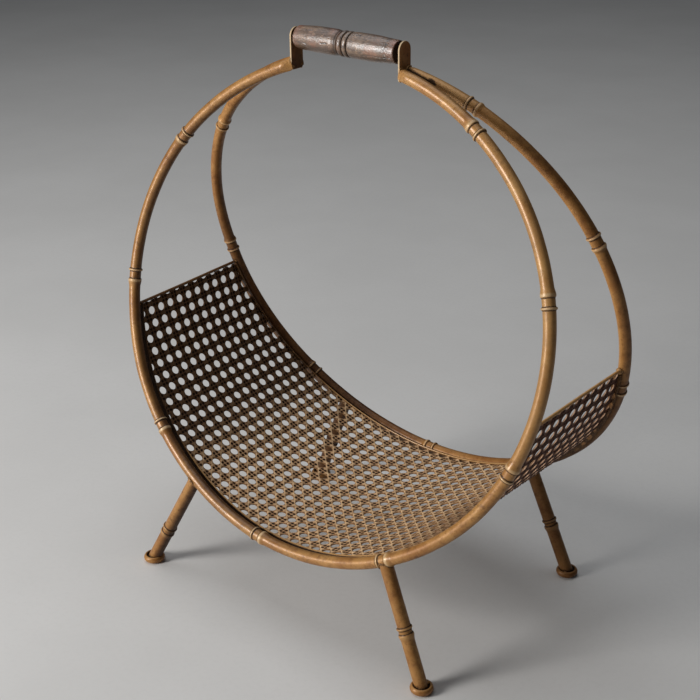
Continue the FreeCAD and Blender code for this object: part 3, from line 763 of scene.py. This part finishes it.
def plate_material():
    """Dark lacquer on the faces, rubbed to gold on the edges."""
    m = Nodes("plate_lacquer")
    broad = m.noise(60.0, 4.0, 0.55)
    patch = m.noise(240.0, 4.0, 0.6)
    fine = m.noise(1100.0, 4.0, 0.6)
    grime_and_shade, wear_and_highlight = m.attr("grime_and_shade"), m.attr("wear_and_highlight")
    colour = m.mix(m.ramp(broad, 0.35, 0.65), rgb(0.290, 0.112, 0.030), rgb(0.390, 0.178, 0.054))
    colour = m.mix(m.ramp(patch, 0.50, 0.72, 0.0, 0.7), colour, rgb(0.10, 0.036, 0.012))
    colour = m.mix(m.ramp(fine, 0.60, 0.75, 0.0, 0.4), colour, rgb(0.30, 0.18, 0.08))
    # painted shade on the left plate
    colour = m.mix(m.attr("deep"), colour, rgb(0.060, 0.024, 0.008))
    edge = m.math("MULTIPLY", wear_and_highlight, m.ramp(patch, 0.25, 0.5, 0.6, 1.0))
    colour = m.mix(m.ramp(edge, 0.25, 0.8), colour, rgb(0.57, 0.42, 0.26))
    # painted shade low on the plate
    colour = m.mix(grime_and_shade, colour, rgb(0.030, 0.014, 0.007))
    m.set(Base_Color=colour, Metallic=0.10, Roughness=m.ramp(patch, 0.3, 0.7, 0.44, 0.6))
    m.set(Normal=m.bump(fine, 0.15, 0.00012, m.bump(patch, 0.2, 0.0003)))
    m.bsdf.inputs["Specular IOR Level"].default_value = 0.2
    return m.mat


PLATE = plate_material()
make_plate("left_plate", PLATE_L - PLATE_T, 539.5, -1, 580.3)
make_plate("right_plate", PLATE_R, 545.0, 1, 582.2)


def lathe(stations_x, radii, cols, cap_first=True, cap_last=True):
    a = np.linspace(0, 2 * np.pi, cols, endpoint=False)
    v = np.concatenate([np.stack([np.full(cols, x), r * np.cos(a), r * np.sin(a)], 1) for x, r in zip(stations_x, radii)])
    f = grid(len(stations_x), cols)
    if cap_first:
        f.append(tuple(range(cols - 1, -1, -1)))
    if cap_last:
        f.append(tuple((len(stations_x) - 1) * cols + k for k in range(cols)))
    return v, f


def make_rod():
    x0, x1 = PLATE_L - PLATE_T, PLATE_R + PLATE_T
    xs = [x0 + 0.7, x0 + 0.8, x0 + 1.0] + list(np.linspace(x0 + 1.5, x1 - 1.5, 60)) + [x1 - 1.0, x1 - 0.8, x1 - 0.7]
    rs = [2.2, 2.7, 2.98] + [2.98] * 60 + [2.98, 2.7, 2.2]
    v, f = lathe(xs, rs, 40)
    v[:, 2] += GRIP_Z
    piece("peened_handle_rod", v, f, STEEL, replaces=("handle_rod",), sharp=50)


make_rod()


def grip_radius(u):
    """Radius of the turned grip at a distance from its middle."""
    w = np.abs(u)
    r = np.zeros_like(w)
    # belly: an arc through (9, 12.3) and (59.6, 10.9)
    p, q, big = np.array([9.0, 12.3]), np.array([59.6, 10.9]), 420.0
    chord = q - p
    mid = (p + q) / 2
    nrm = np.array([-chord[1], chord[0]]) / np.linalg.norm(chord)
    cen = mid - nrm * math.sqrt(big ** 2 - chord @ chord / 4)
    r = cen[1] + np.sqrt(big ** 2 - (w - cen[0]) ** 2)
    # rounded end
    r = np.where(w > 59.6, 9.4 + (10.9 - 9.4) * np.sqrt(np.clip(1 - ((w - 59.6) / 1.4) ** 2, 0, 1)), r)
    # shoulder, neck and bead
    sh = 10.9 + 1.4 * np.sqrt(np.clip(1 - ((9.0 - w) / 2.6) ** 2, 0, 1))
    r = np.where(w < 9.0, sh, r)
    bead_r = 10.6 + 1.75 * np.sqrt(np.clip(1 - ((w - 3.15) / 2.85) ** 2, 0, 1))
    r = np.where(w < 6.35, np.maximum(10.6, bead_r), r)
    return r


def make_grip():
    u = np.unique(np.round(np.concatenate([
        np.linspace(-60.9, 60.9, 330), np.linspace(-11, 11, 121), np.linspace(-60.98, -59.0, 12), np.linspace(59.0, 60.98, 12)]), 3))
    cols = 150
    a = np.linspace(0, 2 * np.pi, cols, endpoint=False)
    r = grip_radius(u)
    uu, aa = np.repeat(u, cols), np.tile(a, len(u))
    rr = np.repeat(r, cols)
    spot = np.stack([uu, rr * np.cos(aa), rr * np.sin(aa)], 1)
    # left of the beads the wood keeps a shallow turned valley
    valley = 0.85 * np.exp(-(((uu + 9.3) / 2.5) ** 2)) + 0.35 * np.exp(-(((uu - 47.0) / 7.0) ** 2))
    uneven = 0.16 * rough(spot, 0.05, 1) + 0.07 * rough(spot, 0.16, 2)
    grain = 0.05 * rough(spot * np.array([0.12, 1, 1]), 1.1, 3)
    edge = np.minimum(np.abs(uu - 61), np.abs(uu + 61))
    knock = np.clip(rough(spot, 0.22, 9) - 0.33, 0, 1) * 1.1 * step(14, 2, edge)
    crack = np.zeros_like(uu)
    lines = [(-61, -38, 3.9, 0.5), (-58, -30, 0.9, 0.4), (12, 33, 2.1, 0.4), (39, 61, 5.0, 0.7), (28, 61, 3.55, 0.6), (-40, -16, 4.6, 0.5), (44, 61, 2.4, 0.6),
             (-61, -44, 2.0, 0.5), (14, 40, 5.6, 0.35), (-48, -40.5, 3.35, 0.95), (-26, -15, 3.15, 1.0), (13, 22, 2.08, 0.9), (24, 34, 3.5, 0.6), (-42, -35, 2.5, 0.5)]
    for k, (x0, x1, ang, deep) in enumerate(lines):
        wander = 0.035 * np.sin(uu * 0.35 + k) + 0.05 * np.sin(uu * 0.11 + 2 * k)
        off = np.abs((aa - ang - wander + np.pi) % (2 * np.pi) - np.pi) * rr
        wide = 0.62 if deep > 0.8 else 0.34
        crack = np.maximum(crack, deep * np.exp(-((off / wide) ** 2)) * step(x0, x0 + 3, uu) * step(x1, x1 - 3, uu))
    # crazed, chipped belt near the right end
    belt = np.exp(-(((uu - 51.0) / 4.2) ** 2))
    craze = np.clip(0.30 - np.abs(rough(spot, 0.55, 14)), 0, 1) / 0.30 * belt * step(0.46, 0.6, 0.5 + 0.5 * rough(spot, 0.13, 15) + 0.12)
    cut = crack
    crack = np.maximum(crack, 0.75 * craze)
    chip = belt * np.clip(rough(spot, 0.42, 16) - 0.05, 0, 1)
    # painted shade in the grooves, the valley and at the ends
    groove_shade = np.zeros_like(uu)
    for place, wide in ((0.0, 0.70), (6.35, 1.15)):
        groove_shade = np.maximum(groove_shade, np.exp(-(((uu - place) / wide) ** 2)))
    groove_shade = np.maximum(groove_shade, 0.20 * np.exp(-(((uu + 6.3) / 0.7) ** 2)))
    groove_shade = np.maximum(groove_shade, 0.72 * np.exp(-(((uu + 8.5) / 2.1) ** 2)))
    groove_shade = np.maximum(groove_shade, 0.9 * step(60.6, 60.95, np.abs(uu)))
    depth = valley + 0.6 * cut + 0.15 * craze + knock + 0.3 * chip - uneven - 1.4 * grain
    depth = np.maximum(depth, -0.18)
    rr2 = np.minimum(rr - depth, 12.48)
    v = np.stack([uu, rr2 * np.cos(aa), rr2 * np.sin(aa)], 1)
    red = 1.0 * step(11, 2.0, edge) * (0.55 + 0.45 * rough(spot, 0.12, 21)) + 0.5 * belt * step(0.1, 0.5, rough(spot, 0.2, 22))
    red = red + 0.55 * step(0.15, 0.55, rough(spot * np.array([0.45, 1, 1]), 0.075, 23))
    rows = len(u)
    # painted shade under the grip, and a paler greyish band along the top as a painted highlight
    shade = 0.78 * step(3.30, 3.85, aa + 0.12 * rough(spot, 0.1, 24)) * step(6.0, 5.4, aa)
    highlight_band = 0.32 * np.exp(-(((aa - 2.60) / 0.40) ** 2)) * (0.7 + 0.3 * rough(spot, 0.12, 25))
    # end faces and the bore for the rod
    verts, vals = [v], {"groove_shade": [groove_shade], "crack": [crack], "red": [np.clip(red, 0, 1)], "shade": [shade], "highlight_band": [highlight_band]}
    f = grid(rows, cols)
    base = rows * cols
    rings = []
    for sign, first_row in ((-1, 0), (1, (rows - 1) * cols)):
        prev = first_row
        for rad, x in ((8.6, 60.85), (6.5, 60.7), (4.4, 60.75), (3.3, 60.6), (3.06, 60.3)):
            p = np.stack([np.full(cols, sign * x), rad * np.cos(a), rad * np.sin(a)], 1)
            p[:, 0] += sign * np.clip(0.12 * rough(p, 0.5, 31 + sign), -0.2, 0.1)
            verts.append(p)
            # the end faces get painted shade
            for key, val in (("groove_shade", 0.85), ("crack", 0.2), ("red", 0.1), ("shade", 0.0), ("highlight_band", 0.0)):
                vals[key].append(np.full(cols, val))
            here = base
            base += cols
            for k in range(cols):
                c = (k + 1) % cols
                f.append((prev + k, prev + c, here + c, here + k))
            prev = here
        rings.append(prev)
    for k in range(cols):
        c = (k + 1) % cols
        f.append((rings[0] + k, rings[0] + c, rings[1] + c, rings[1] + k))
    v = np.concatenate(verts) + np.array([GRIP_X, 0.0, GRIP_Z])
    piece("turned_wooden_grip", v, f, WOOD, body="grip", replaces=("handle_grip",),
          values={k: np.concatenate(x) for k, x in vals.items()}, sharp=60)


make_grip()


# ----------------------------------------------------------------------------
# cross rods and their welds, and the welds at the plates
# ----------------------------------------------------------------------------
def make_cross_rod(hand):
    word = "left" if hand < 0 else "right"
    ends = []
    for side in (-1, 1):
        y = side * 75.0
        for _ in range(3):
            y = side * (MID_Y + (MID_Z - rod_line(hand, y)[1]) * math.tan(LEAN) - 4.9)
        ends.append(y)
    y = np.linspace(ends[0], ends[1], 90)
    x, z = rod_line(hand, y)
    centre = np.stack([x, y, z + 0.12 * np.sin(y * 0.045 + hand)], 1)
    first = np.repeat([[1.0, 0, 0]], 90, 0)
    second = np.repeat([[0, 0, 1.0]], 90, 0)
    r = ROD_R - 0.02 + 0.04 * rough(centre, 0.08, hand)
    cols = 24
    v = sweep(centre, first, second, r, cols)
    f = grid(90, cols)
    f.append(tuple(range(cols - 1, -1, -1)))
    f.append(tuple(89 * cols + k for k in range(cols)))
    up = (v[:, 2] - np.repeat(centre[:, 2], cols)) / ROD_R
    tip = np.minimum(v[:, 1] - ends[0], ends[1] - v[:, 1])
    # painted shade on the rods' undersides and ends, a painted highlight along the top of the right rod, and painted
    # shade over the whole left rod
    grime_and_shade = np.maximum(np.exp(-((tip / 4.0) ** 2)) * 0.7, 0.9 * step(-0.05, -0.6, up))
    wear_and_highlight = step(0.2, 0.8, up) if hand > 0 else 0 * up
    deep = 0 * up if hand > 0 else 0 * up + 0.72
    piece(word + "_edge_rod", v, f, ROD_GOLD_LIT if hand > 0 else GOLD, replaces=(word + "_cross_rod",), values={"grime_and_shade": grime_and_shade, "wear_and_highlight": wear_and_highlight, "deep": deep}, sharp=55)
    blobs = []
    for side, y in zip((-1, 1), ends):
        x, z = rod_line(hand, y)
        p = np.array([x, y - side * (2.0 if hand > 0 else 1.2), z - 0.2])
        size = 3.1 if hand > 0 else 2.1
        blobs.append(lump(p, np.array([[size * 1.05, 0, 0], [0, size * 1.05, side * 0.3], [0, 0, size]]), 50 + 3 * side + hand))
    v, f = joined(blobs)
    dark = np.clip(0.35 + 0.5 * rough(v, 0.5, 60), 0, 1)
    piece(word + "_rod_welds", v, f, GOLD, values={"grime_and_shade": dark, "wear_and_highlight": np.clip(0.7 - dark, 0, 1)})


make_cross_rod(-1)
make_cross_rod(1)


def make_plate_welds(name, x_face, sign):
    """Weld round the end of each bar where it meets a plate."""
    parts = []
    for side in (-1, 1):
        c, ex, up, inn = basis(side)
        h = -SHIFT + math.sqrt(TOP ** 2 - x_face ** 2)
        centre = c + x_face * ex + h * up
        along = np.array([h + SHIFT, -x_face]) / TOP
        t = along[0] * ex + along[1] * up
        b = np.linspace(0, 2 * np.pi, 60, endpoint=False)
        nrm = (x_face / TOP) * ex + ((h + SHIFT) / TOP) * up
        ring = BAR * (np.cos(b)[:, None] * nrm + np.sin(b)[:, None] * inn)
        path = centre + ring
        path = path + t * ((x_face + sign * 0.25 - path[:, 0]) / t[0])[:, None]
        over = np.clip(np.abs(path[:, 1]) - 8.3, 0.0, None)
        path[:, 1] -= np.sign(path[:, 1]) * over * 0.85
        v, f = bead(path, np.repeat([[1.0, 0, 0]], 60, 0), 0.7, 70 + side)
        parts.append((v, f))
    v, f = joined(parts)
    dark = np.clip(0.12 + 0.45 * rough(v, 0.35, 75), 0, 1)
    piece(name, v, f, GOLD, values={"grime_and_shade": dark, "wear_and_highlight": np.clip(0.75 - dark, 0, 1)})


make_plate_welds("left_plate_welds", PLATE_L - PLATE_T, -1)
make_plate_welds("right_plate_welds", PLATE_R + PLATE_T, 1)


# ----------------------------------------------------------------------------
# edge strips
# ----------------------------------------------------------------------------
def make_strip(side):
    word = "front" if side < 0 else "back"
    c, ex, up, inn = basis(side)
    th = np.linspace(99.74, 259.08, 260)
    x, h, nx, ny = oval(th)
    section = [(1.2, 7.65), (1.4, 7.85), (1.4, 8.65), (1.2, 8.85), (-2.0, 8.85), (-4.5, 8.85), (-6.1, 8.85), (-6.35, 8.6), (-6.35, 7.9), (-6.1, 7.65), (-4.5, 7.65), (-2.0, 7.65)]
    n = len(section)
    v, wear_and_highlight = [], []
    for k in range(len(th)):
        for rad, dep in section:
            px, ph = x[k] + rad * nx[k], h[k] + rad * ny[k]
            ph = min(ph, -48.8 if px < 0 else -43.5)
            v.append(c + px * ex + ph * up + dep * inn)
            # painted highlight on the strip's inner edge low down
            wear_and_highlight.append(float(step(165.0, 125.0, v[-1][2])) if rad < -6.0 else 0.0)
    v = np.array(v)
    v += 0.12 * rough(v, 0.03, 80 + side)[:, None] * (nx[:, None, None] * ex + ny[:, None, None] * up).repeat(n, 1).reshape(-1, 3)
    f = grid(len(th), n)
    f.append(tuple(range(n - 1, -1, -1)))
    f.append(tuple((len(th) - 1) * n + k for k in range(n)))
    wear_and_highlight = np.array(wear_and_highlight)
    # painted shade on the strip's faces
    grime_and_shade = np.tile(np.array([0.95 if dep < 7.7 else 0.6 for rad, dep in section]), len(th)) * (1 - wear_and_highlight)
    piece(word + "_sheet_strip", v, f, GOLD, replaces=(word + "_edge_strip",), values={"grime_and_shade": grime_and_shade, "wear_and_highlight": wear_and_highlight, "deep": 0.55 * (1 - wear_and_highlight)}, sharp=40)


make_strip(-1)
make_strip(1)


# ----------------------------------------------------------------------------
# pierced and embossed trough sheet
# ----------------------------------------------------------------------------
PITCH_Y, PITCH_S = 13.994, 14.145
HOLE_Y0, HOLE_S0, HOLE_SKEW = -4.794, -279.902, -0.0197
HOLE_R = 4.35
PIT = 4.95
CELL = 14.0
KINK = SHEET_TOP * math.pi / 4


def section_point(s):
    """x, z and outward normal of the sheet's outer face at an arc length from the bottom."""
    s = np.asarray(s, float)
    w = np.abs(s)
    a = w / SHEET_TOP
    b = -math.pi / 4 + (w - KINK) / SHEET_SIDE
    low = w <= KINK
    x = np.where(low, SHEET_TOP * np.sin(a), SHEET_SHIFT + SHEET_SIDE * np.cos(b))
    z = MID_Z + np.where(low, SHEET_SHIFT - SHEET_TOP * np.cos(a), SHEET_SIDE * np.sin(b))
    nx = np.where(low, np.sin(a), np.cos(b))
    nz = np.where(low, -np.cos(a), np.sin(b))
    sg = np.sign(s) + (s == 0)
    return x * sg, z, nx * sg, nz


def outward(p):
    """Outward normal of the sheet at points on or near it."""
    x, z = p[:, 0], p[:, 2] - MID_Z
    flank = (np.abs(x) > SHEET_TOP * math.sqrt(0.5)) | (z > 0)
    cx = np.where(flank, np.copysign(SHEET_SHIFT, x), 0.0)
    cz = np.where(flank, 0.0, SHEET_SHIFT)
    n = np.stack([x - cx, 0 * x, z - cz], 1)
    return n / np.linalg.norm(n, axis=1)[:, None]


def unrolled(p):
    """Arc length from the sheet's bottom line, and y, of points on the sheet."""
    x, z = np.abs(p[:, 0]), p[:, 2] - MID_Z
    a = np.arctan2(x, SHEET_SHIFT - z)
    b = np.arctan2(z, x - SHEET_SHIFT)
    w = np.where(a <= math.pi / 4, a * SHEET_TOP, KINK + (b + math.pi / 4) * SHEET_SIDE)
    return np.stack([np.copysign(w, p[:, 0]), p[:, 1]], 1)


def cell_template():
    """One cell of the sheet as triangles: a hole in its middle, strands that run slantwise past the hole
    and along the cell's sides, and a dimple in each corner between them."""
    half = CELL / 2
    pts, edges = [], []
    ticks = np.linspace(-half, half, 5)
    for t in ticks[:-1]:
        pts.append((t, -half))
    for t in ticks[:-1]:
        pts.append((half, t))
    for t in ticks[::-1][:-1]:
        pts.append((t, half))
    for t in ticks[::-1][:-1]:
        pts.append((-half, t))
    n = len(pts)
    edges += [(k, (k + 1) % n) for k in range(n)]
    count = 16
    base = len(pts)
    for k in range(count):
        a = 2 * math.pi * (k + 0.5) / count
        pts.append((HOLE_R * math.cos(a), HOLE_R * math.sin(a)))
    edges += [(base + k, base + (k + 1) % count) for k in range(count)]
    for sx in (-1, 1):
        for sy in (-1, 1):
            ends = [pts.index((sx * half, 0.0)) if (sx * half, 0.0) in pts else None, pts.index((0.0, sy * half)) if (0.0, sy * half) in pts else None]
            line = [ends[0]]
            for f in (0.33, 0.67):
                line.append(len(pts))
                pts.append((sx * half * (1 - f), sy * half * f))
            line.append(ends[1])
            edges += [(line[k], line[k + 1]) for k in range(3)]
            cx, cy = sx * PIT, sy * PIT
            base = len(pts)
            turn = math.atan2(sy, sx)
            for k in range(6):
                a = turn + 2 * math.pi * (k + 0.5) / 6
                pts.append((cx + 1.42 * math.cos(a), cy + 1.42 * math.sin(a)))
            edges += [(base + k, base + (k + 1) % 6) for k in range(6)]
            pts.append((cx, cy))
    for p in ((5.55, 0.0), (-5.55, 0.0), (0.0, 5.55), (0.0, -5.55)):
        pts.append(p)
    out = delaunay_2d_cdt([Vector(p) for p in pts], edges, [], 0, 1e-5)
    uv = np.array([v[:] for v in out[0]])
    tris = []
    for f in out[2]:
        if np.hypot(*uv[list(f)].T).max() < HOLE_R + 0.02:
            continue
        tris.append(tuple(f))
    return uv, tris


def relief(u, v):
    """Height of the emboss, and how far a point is a dimple, a strand and a hole's edge."""
    r = np.hypot(u, v)
    half = CELL / 2
    slant = np.abs(np.abs(u) + np.abs(v) - half) / math.sqrt(2)
    side = np.where(np.abs(u) + np.abs(v) > half - 0.01, half - np.maximum(np.abs(u), np.abs(v)), 9.0)
    ridge = np.maximum(np.clip(1 - (slant / 1.1) ** 2, 0, 1), 0.85 * np.clip(1 - (side / 1.0) ** 2, 0, 1))
    pit = np.zeros_like(u)
    for sx in (-1, 1):
        for sy in (-1, 1):
            d = np.hypot(u - sx * PIT, v - sy * PIT)
            pit = np.maximum(pit, np.clip(1 - (d / 1.6) ** 2, 0, 1))
    rim = (r < HOLE_R + 0.05).astype(float)
    ridge = ridge * (1 - rim) * (1 - np.clip(pit * 3, 0, 1))
    lead = np.clip(1 - ((np.abs(np.abs(u + v) - half) / math.sqrt(2)) / 1.1) ** 2, 0, 1) * ridge
    return 0.56 * ridge + 0.10 * lead - 0.75 * pit - 0.05 * rim, pit, ridge, rim, lead


def make_sheet():
    uv, tris = cell_template()
    high, pit, ridge, rim, lead = relief(uv[:, 0], uv[:, 1])
    seen, verts, vals, faces = {}, [], [], []
    for j in range(-6, 47):
        for i in range(-10, 12):
            y_mid = HOLE_Y0 + i * PITCH_Y
            if abs(y_mid) > 136:
                continue
            index = []
            for k in range(len(uv)):
                key = (round((i + uv[k, 0] / CELL) * 4000), round((j + uv[k, 1] / CELL) * 4000))
                if key not in seen:
                    seen[key] = len(verts)
                    verts.append((i + uv[k, 0] / CELL, j + uv[k, 1] / CELL))
                    vals.append((high[k], pit[k], ridge[k], rim[k], lead[k]))
                index.append(seen[key])
            faces += [(index[a], index[b], index[c]) for a, b, c in tris]
    ab = np.array(verts)
    vals = np.array(vals)
    y = HOLE_Y0 + ab[:, 0] * PITCH_Y
    s = HOLE_S0 + (ab[:, 1] + HOLE_SKEW * ab[:, 0]) * PITCH_S
    x, z, nx, nz = section_point(s)
    n = np.stack([nx, 0 * nx, nz], 1)
    inner = np.stack([x, y, z], 1) - n * SHEET_T
    mesh = bpy.data.meshes.new("sheet_flat")
    mesh.from_pydata(inner.tolist(), [], faces)
    bm = bmesh.new()
    bm.from_mesh(mesh)
    bpy.data.meshes.remove(mesh)
    layers = [bm.verts.layers.float.new(k) for k in ("high", "pit", "ridge", "rim", "lead")]
    bm.verts.ensure_lookup_table()
    for k, v in enumerate(bm.verts):
        for c, layer in enumerate(layers):
            v[layer] = float(vals[k, c])
    for hand in (-1, 1):
        part = [f for f in bm.faces if f.calc_center_median().x * hand > 0]
        part += list({e for f in part for e in f.edges}) + list({v for f in part for v in f.verts})
        level, slope = ROD_LEVEL[hand]
        bmesh.ops.bisect_plane(bm, geom=part, dist=1e-4, plane_co=(0, 0, level - 1.5), plane_no=(0, -slope, 1), clear_outer=True)
    for side in (-1, 1):
        c, ex, up, inn = basis(side)
        bmesh.ops.bisect_plane(bm, geom=bm.verts[:] + bm.edges[:] + bm.faces[:], dist=1e-4, plane_co=tuple(c + inn * SHEET_GAP), plane_no=tuple(-inn), clear_outer=True)
    loose = [v for v in bm.verts if not v.link_faces]
    bmesh.ops.delete(bm, geom=loose, context="VERTS")
    bm.verts.index_update()
    bm.verts.ensure_lookup_table()
    p = np.array([v.co[:] for v in bm.verts])
    vals = np.array([[v[layer] for layer in layers] for v in bm.verts])
    tri = [tuple(v.index for v in f.verts) for f in bm.faces]
    border, inland = [], []
    for e in bm.edges:
        if e.is_boundary:
            loop = e.link_loops[0]
            border.append((loop.vert.index, loop.link_loop_next.vert.index))
            inland.append(loop.face.calc_center_median()[:])
    bm.free()
    n = outward(p)
    top = np.where(p[:, 0] < 0, ROD_LEVEL[-1][0], ROD_LEVEL[1][0])
    wave = 0.25 * rough(p, 0.012, 90) * step(0, 25, top - p[:, 2])
    lift = (vals[:, 0] + wave)[:, None]
    inside = p - n * lift
    outside = p + n * SHEET_T - n * (lift * 0.9)
    count = len(p)
    faces = [t for t in tri] + [tuple(count + k for k in reversed(t)) for t in tri]
    faces += [(b, a, count + a, count + b) for a, b in border]
    both = np.concatenate([inside, outside])
    back = vals.copy()
    back[:, 1] *= 0.35
    values = {k: np.concatenate([vals[:, c], back[:, c]]) for c, k in enumerate(("high", "pit", "ridge", "rim", "lead")) if c}
    values["under"] = np.concatenate([np.zeros(count), np.ones(count)])
    flat = unrolled(p)
    # painted light: the trough's bottom kept light and its sides darkened, and the hole edges on the right end lit
    lit_bottom = step(205.0, 95.0, np.abs(flat[:, 0]) + 22 * rough(p, 0.02, 93))
    values["lit_bottom"] = np.concatenate([lit_bottom, lit_bottom])
    lit = 0.6 * step(120.0, 185.0, flat[:, 0])
    values["lit"] = np.concatenate([lit, lit])
    obj = piece("pierced_trough_sheet", both, faces, SHEET, replaces=("trough_sheet",), values=values, sharp=52)
    # map of the sheet laid flat, for its textures: inner face below, outer face above, each cut edge just beyond its face
    past = np.zeros_like(flat)
    mids = unrolled(np.array(inland))
    for (i, j), m in zip(border, mids):
        e = flat[j] - flat[i]
        w = np.array([e[1], -e[0]])
        w *= np.sign(w @ (flat[i] - m)) / max(np.linalg.norm(w), 1e-9)
        past[i] += w
        past[j] += w
    past /= np.maximum(np.linalg.norm(past, axis=1), 1e-9)[:, None]
    low = flat / 720.0 + np.array([0.5, 0.25])
    high = flat / 720.0 + np.array([0.5, 0.75])
    rim_map = (flat + 0.9 * past) / 720.0 + np.array([0.5, 0.25])
    mesh = obj.data
    corner = np.empty(len(mesh.loops), np.int32)
    mesh.loops.foreach_get("vertex_index", corner)
    sizes = np.empty(len(mesh.polygons), np.int32)
    mesh.polygons.foreach_get("loop_total", sizes)
    owner = np.repeat(np.arange(len(sizes)), sizes)
    k = corner % count
    spot = np.where((corner < count)[:, None], low[k], np.where((owner < 2 * len(tri))[:, None], high[k], rim_map[k]))
    layer = mesh.uv_layers.new(name="OFBake")
    layer.uv.foreach_set("vector", np.ascontiguousarray(spot, np.float32).ravel())


make_sheet()

# ----------------------------------------------------------------------------
# floor, light and camera
# ----------------------------------------------------------------------------
floor_mesh = bpy.data.meshes.new("floor")
floor_mesh.from_pydata([(-12, -12, -0.0002), (12, -12, -0.0002), (12, 12, -0.0002), (-12, 12, -0.0002)], [], [(0, 1, 2, 3)])
floor_mesh.materials.append(floor_material())
floor = bpy.data.objects.new("floor", floor_mesh)
bpy.context.scene.collection.objects.link(floor)

world = bpy.data.worlds.new("studio")
bpy.context.scene.world = world
world.use_nodes = True
world.node_tree.nodes["Background"].inputs["Color"].default_value = (0.86, 0.92, 1.0, 1.0)
world.node_tree.nodes["Background"].inputs["Strength"].default_value = 0.055


def area(name, place, target, size, power, colour):
    light = bpy.data.lights.new(name, "AREA")
    light.shape = "RECTANGLE"
    light.size, light.size_y = size
    light.energy = power
    light.color = colour
    obj = bpy.data.objects.new(name, light)
    bpy.context.scene.collection.objects.link(obj)
    obj.location = place
    obj.rotation_euler = (Vector(target) - Vector(place)).to_track_quat("-Z", "Y").to_euler()
    return obj


area("key", (-1.15, -2.22, 1.03), (0.0, 0.0, 0.28), (0.80, 1.15), 64.0, (1.0, 0.985, 0.97))
area("top_soft", (-0.7, 0.2, 2.9), (0.0, 0.1, 0.20), (2.4, 2.4), 29.0, (0.95, 0.97, 1.0))

cam_data = bpy.data.cameras.new("camera")
cam_data.sensor_width = 36.0
cam_data.sensor_fit = "HORIZONTAL"
cam_data.lens = 1403.48 / 700.0 * 36.0
cam_data.clip_start = 0.05
cam = bpy.data.objects.new("camera", cam_data)
bpy.context.scene.collection.objects.link(cam)
az, el, roll = math.radians(40.1407), math.radians(23.9011), math.radians(-0.7995)
look = Vector((-math.sin(az) * math.cos(el), math.cos(az) * math.cos(el), -math.sin(el)))
right = Vector((math.cos(az), math.sin(az), 0.0))
upward = right.cross(look)
r2 = math.cos(roll) * right + math.sin(roll) * upward
u2 = -math.sin(roll) * right + math.cos(roll) * upward
cam.matrix_world = Matrix((
    (r2.x, u2.x, -look.x, 0.83148),
    (r2.y, u2.y, -look.y, -1.00621),
    (r2.z, u2.z, -look.z, 0.84100),
    (0, 0, 0, 1),
))
bpy.context.scene.camera = cam
bpy.context.scene.view_settings.view_transform = "Standard"

bpy.context.view_layer.update()
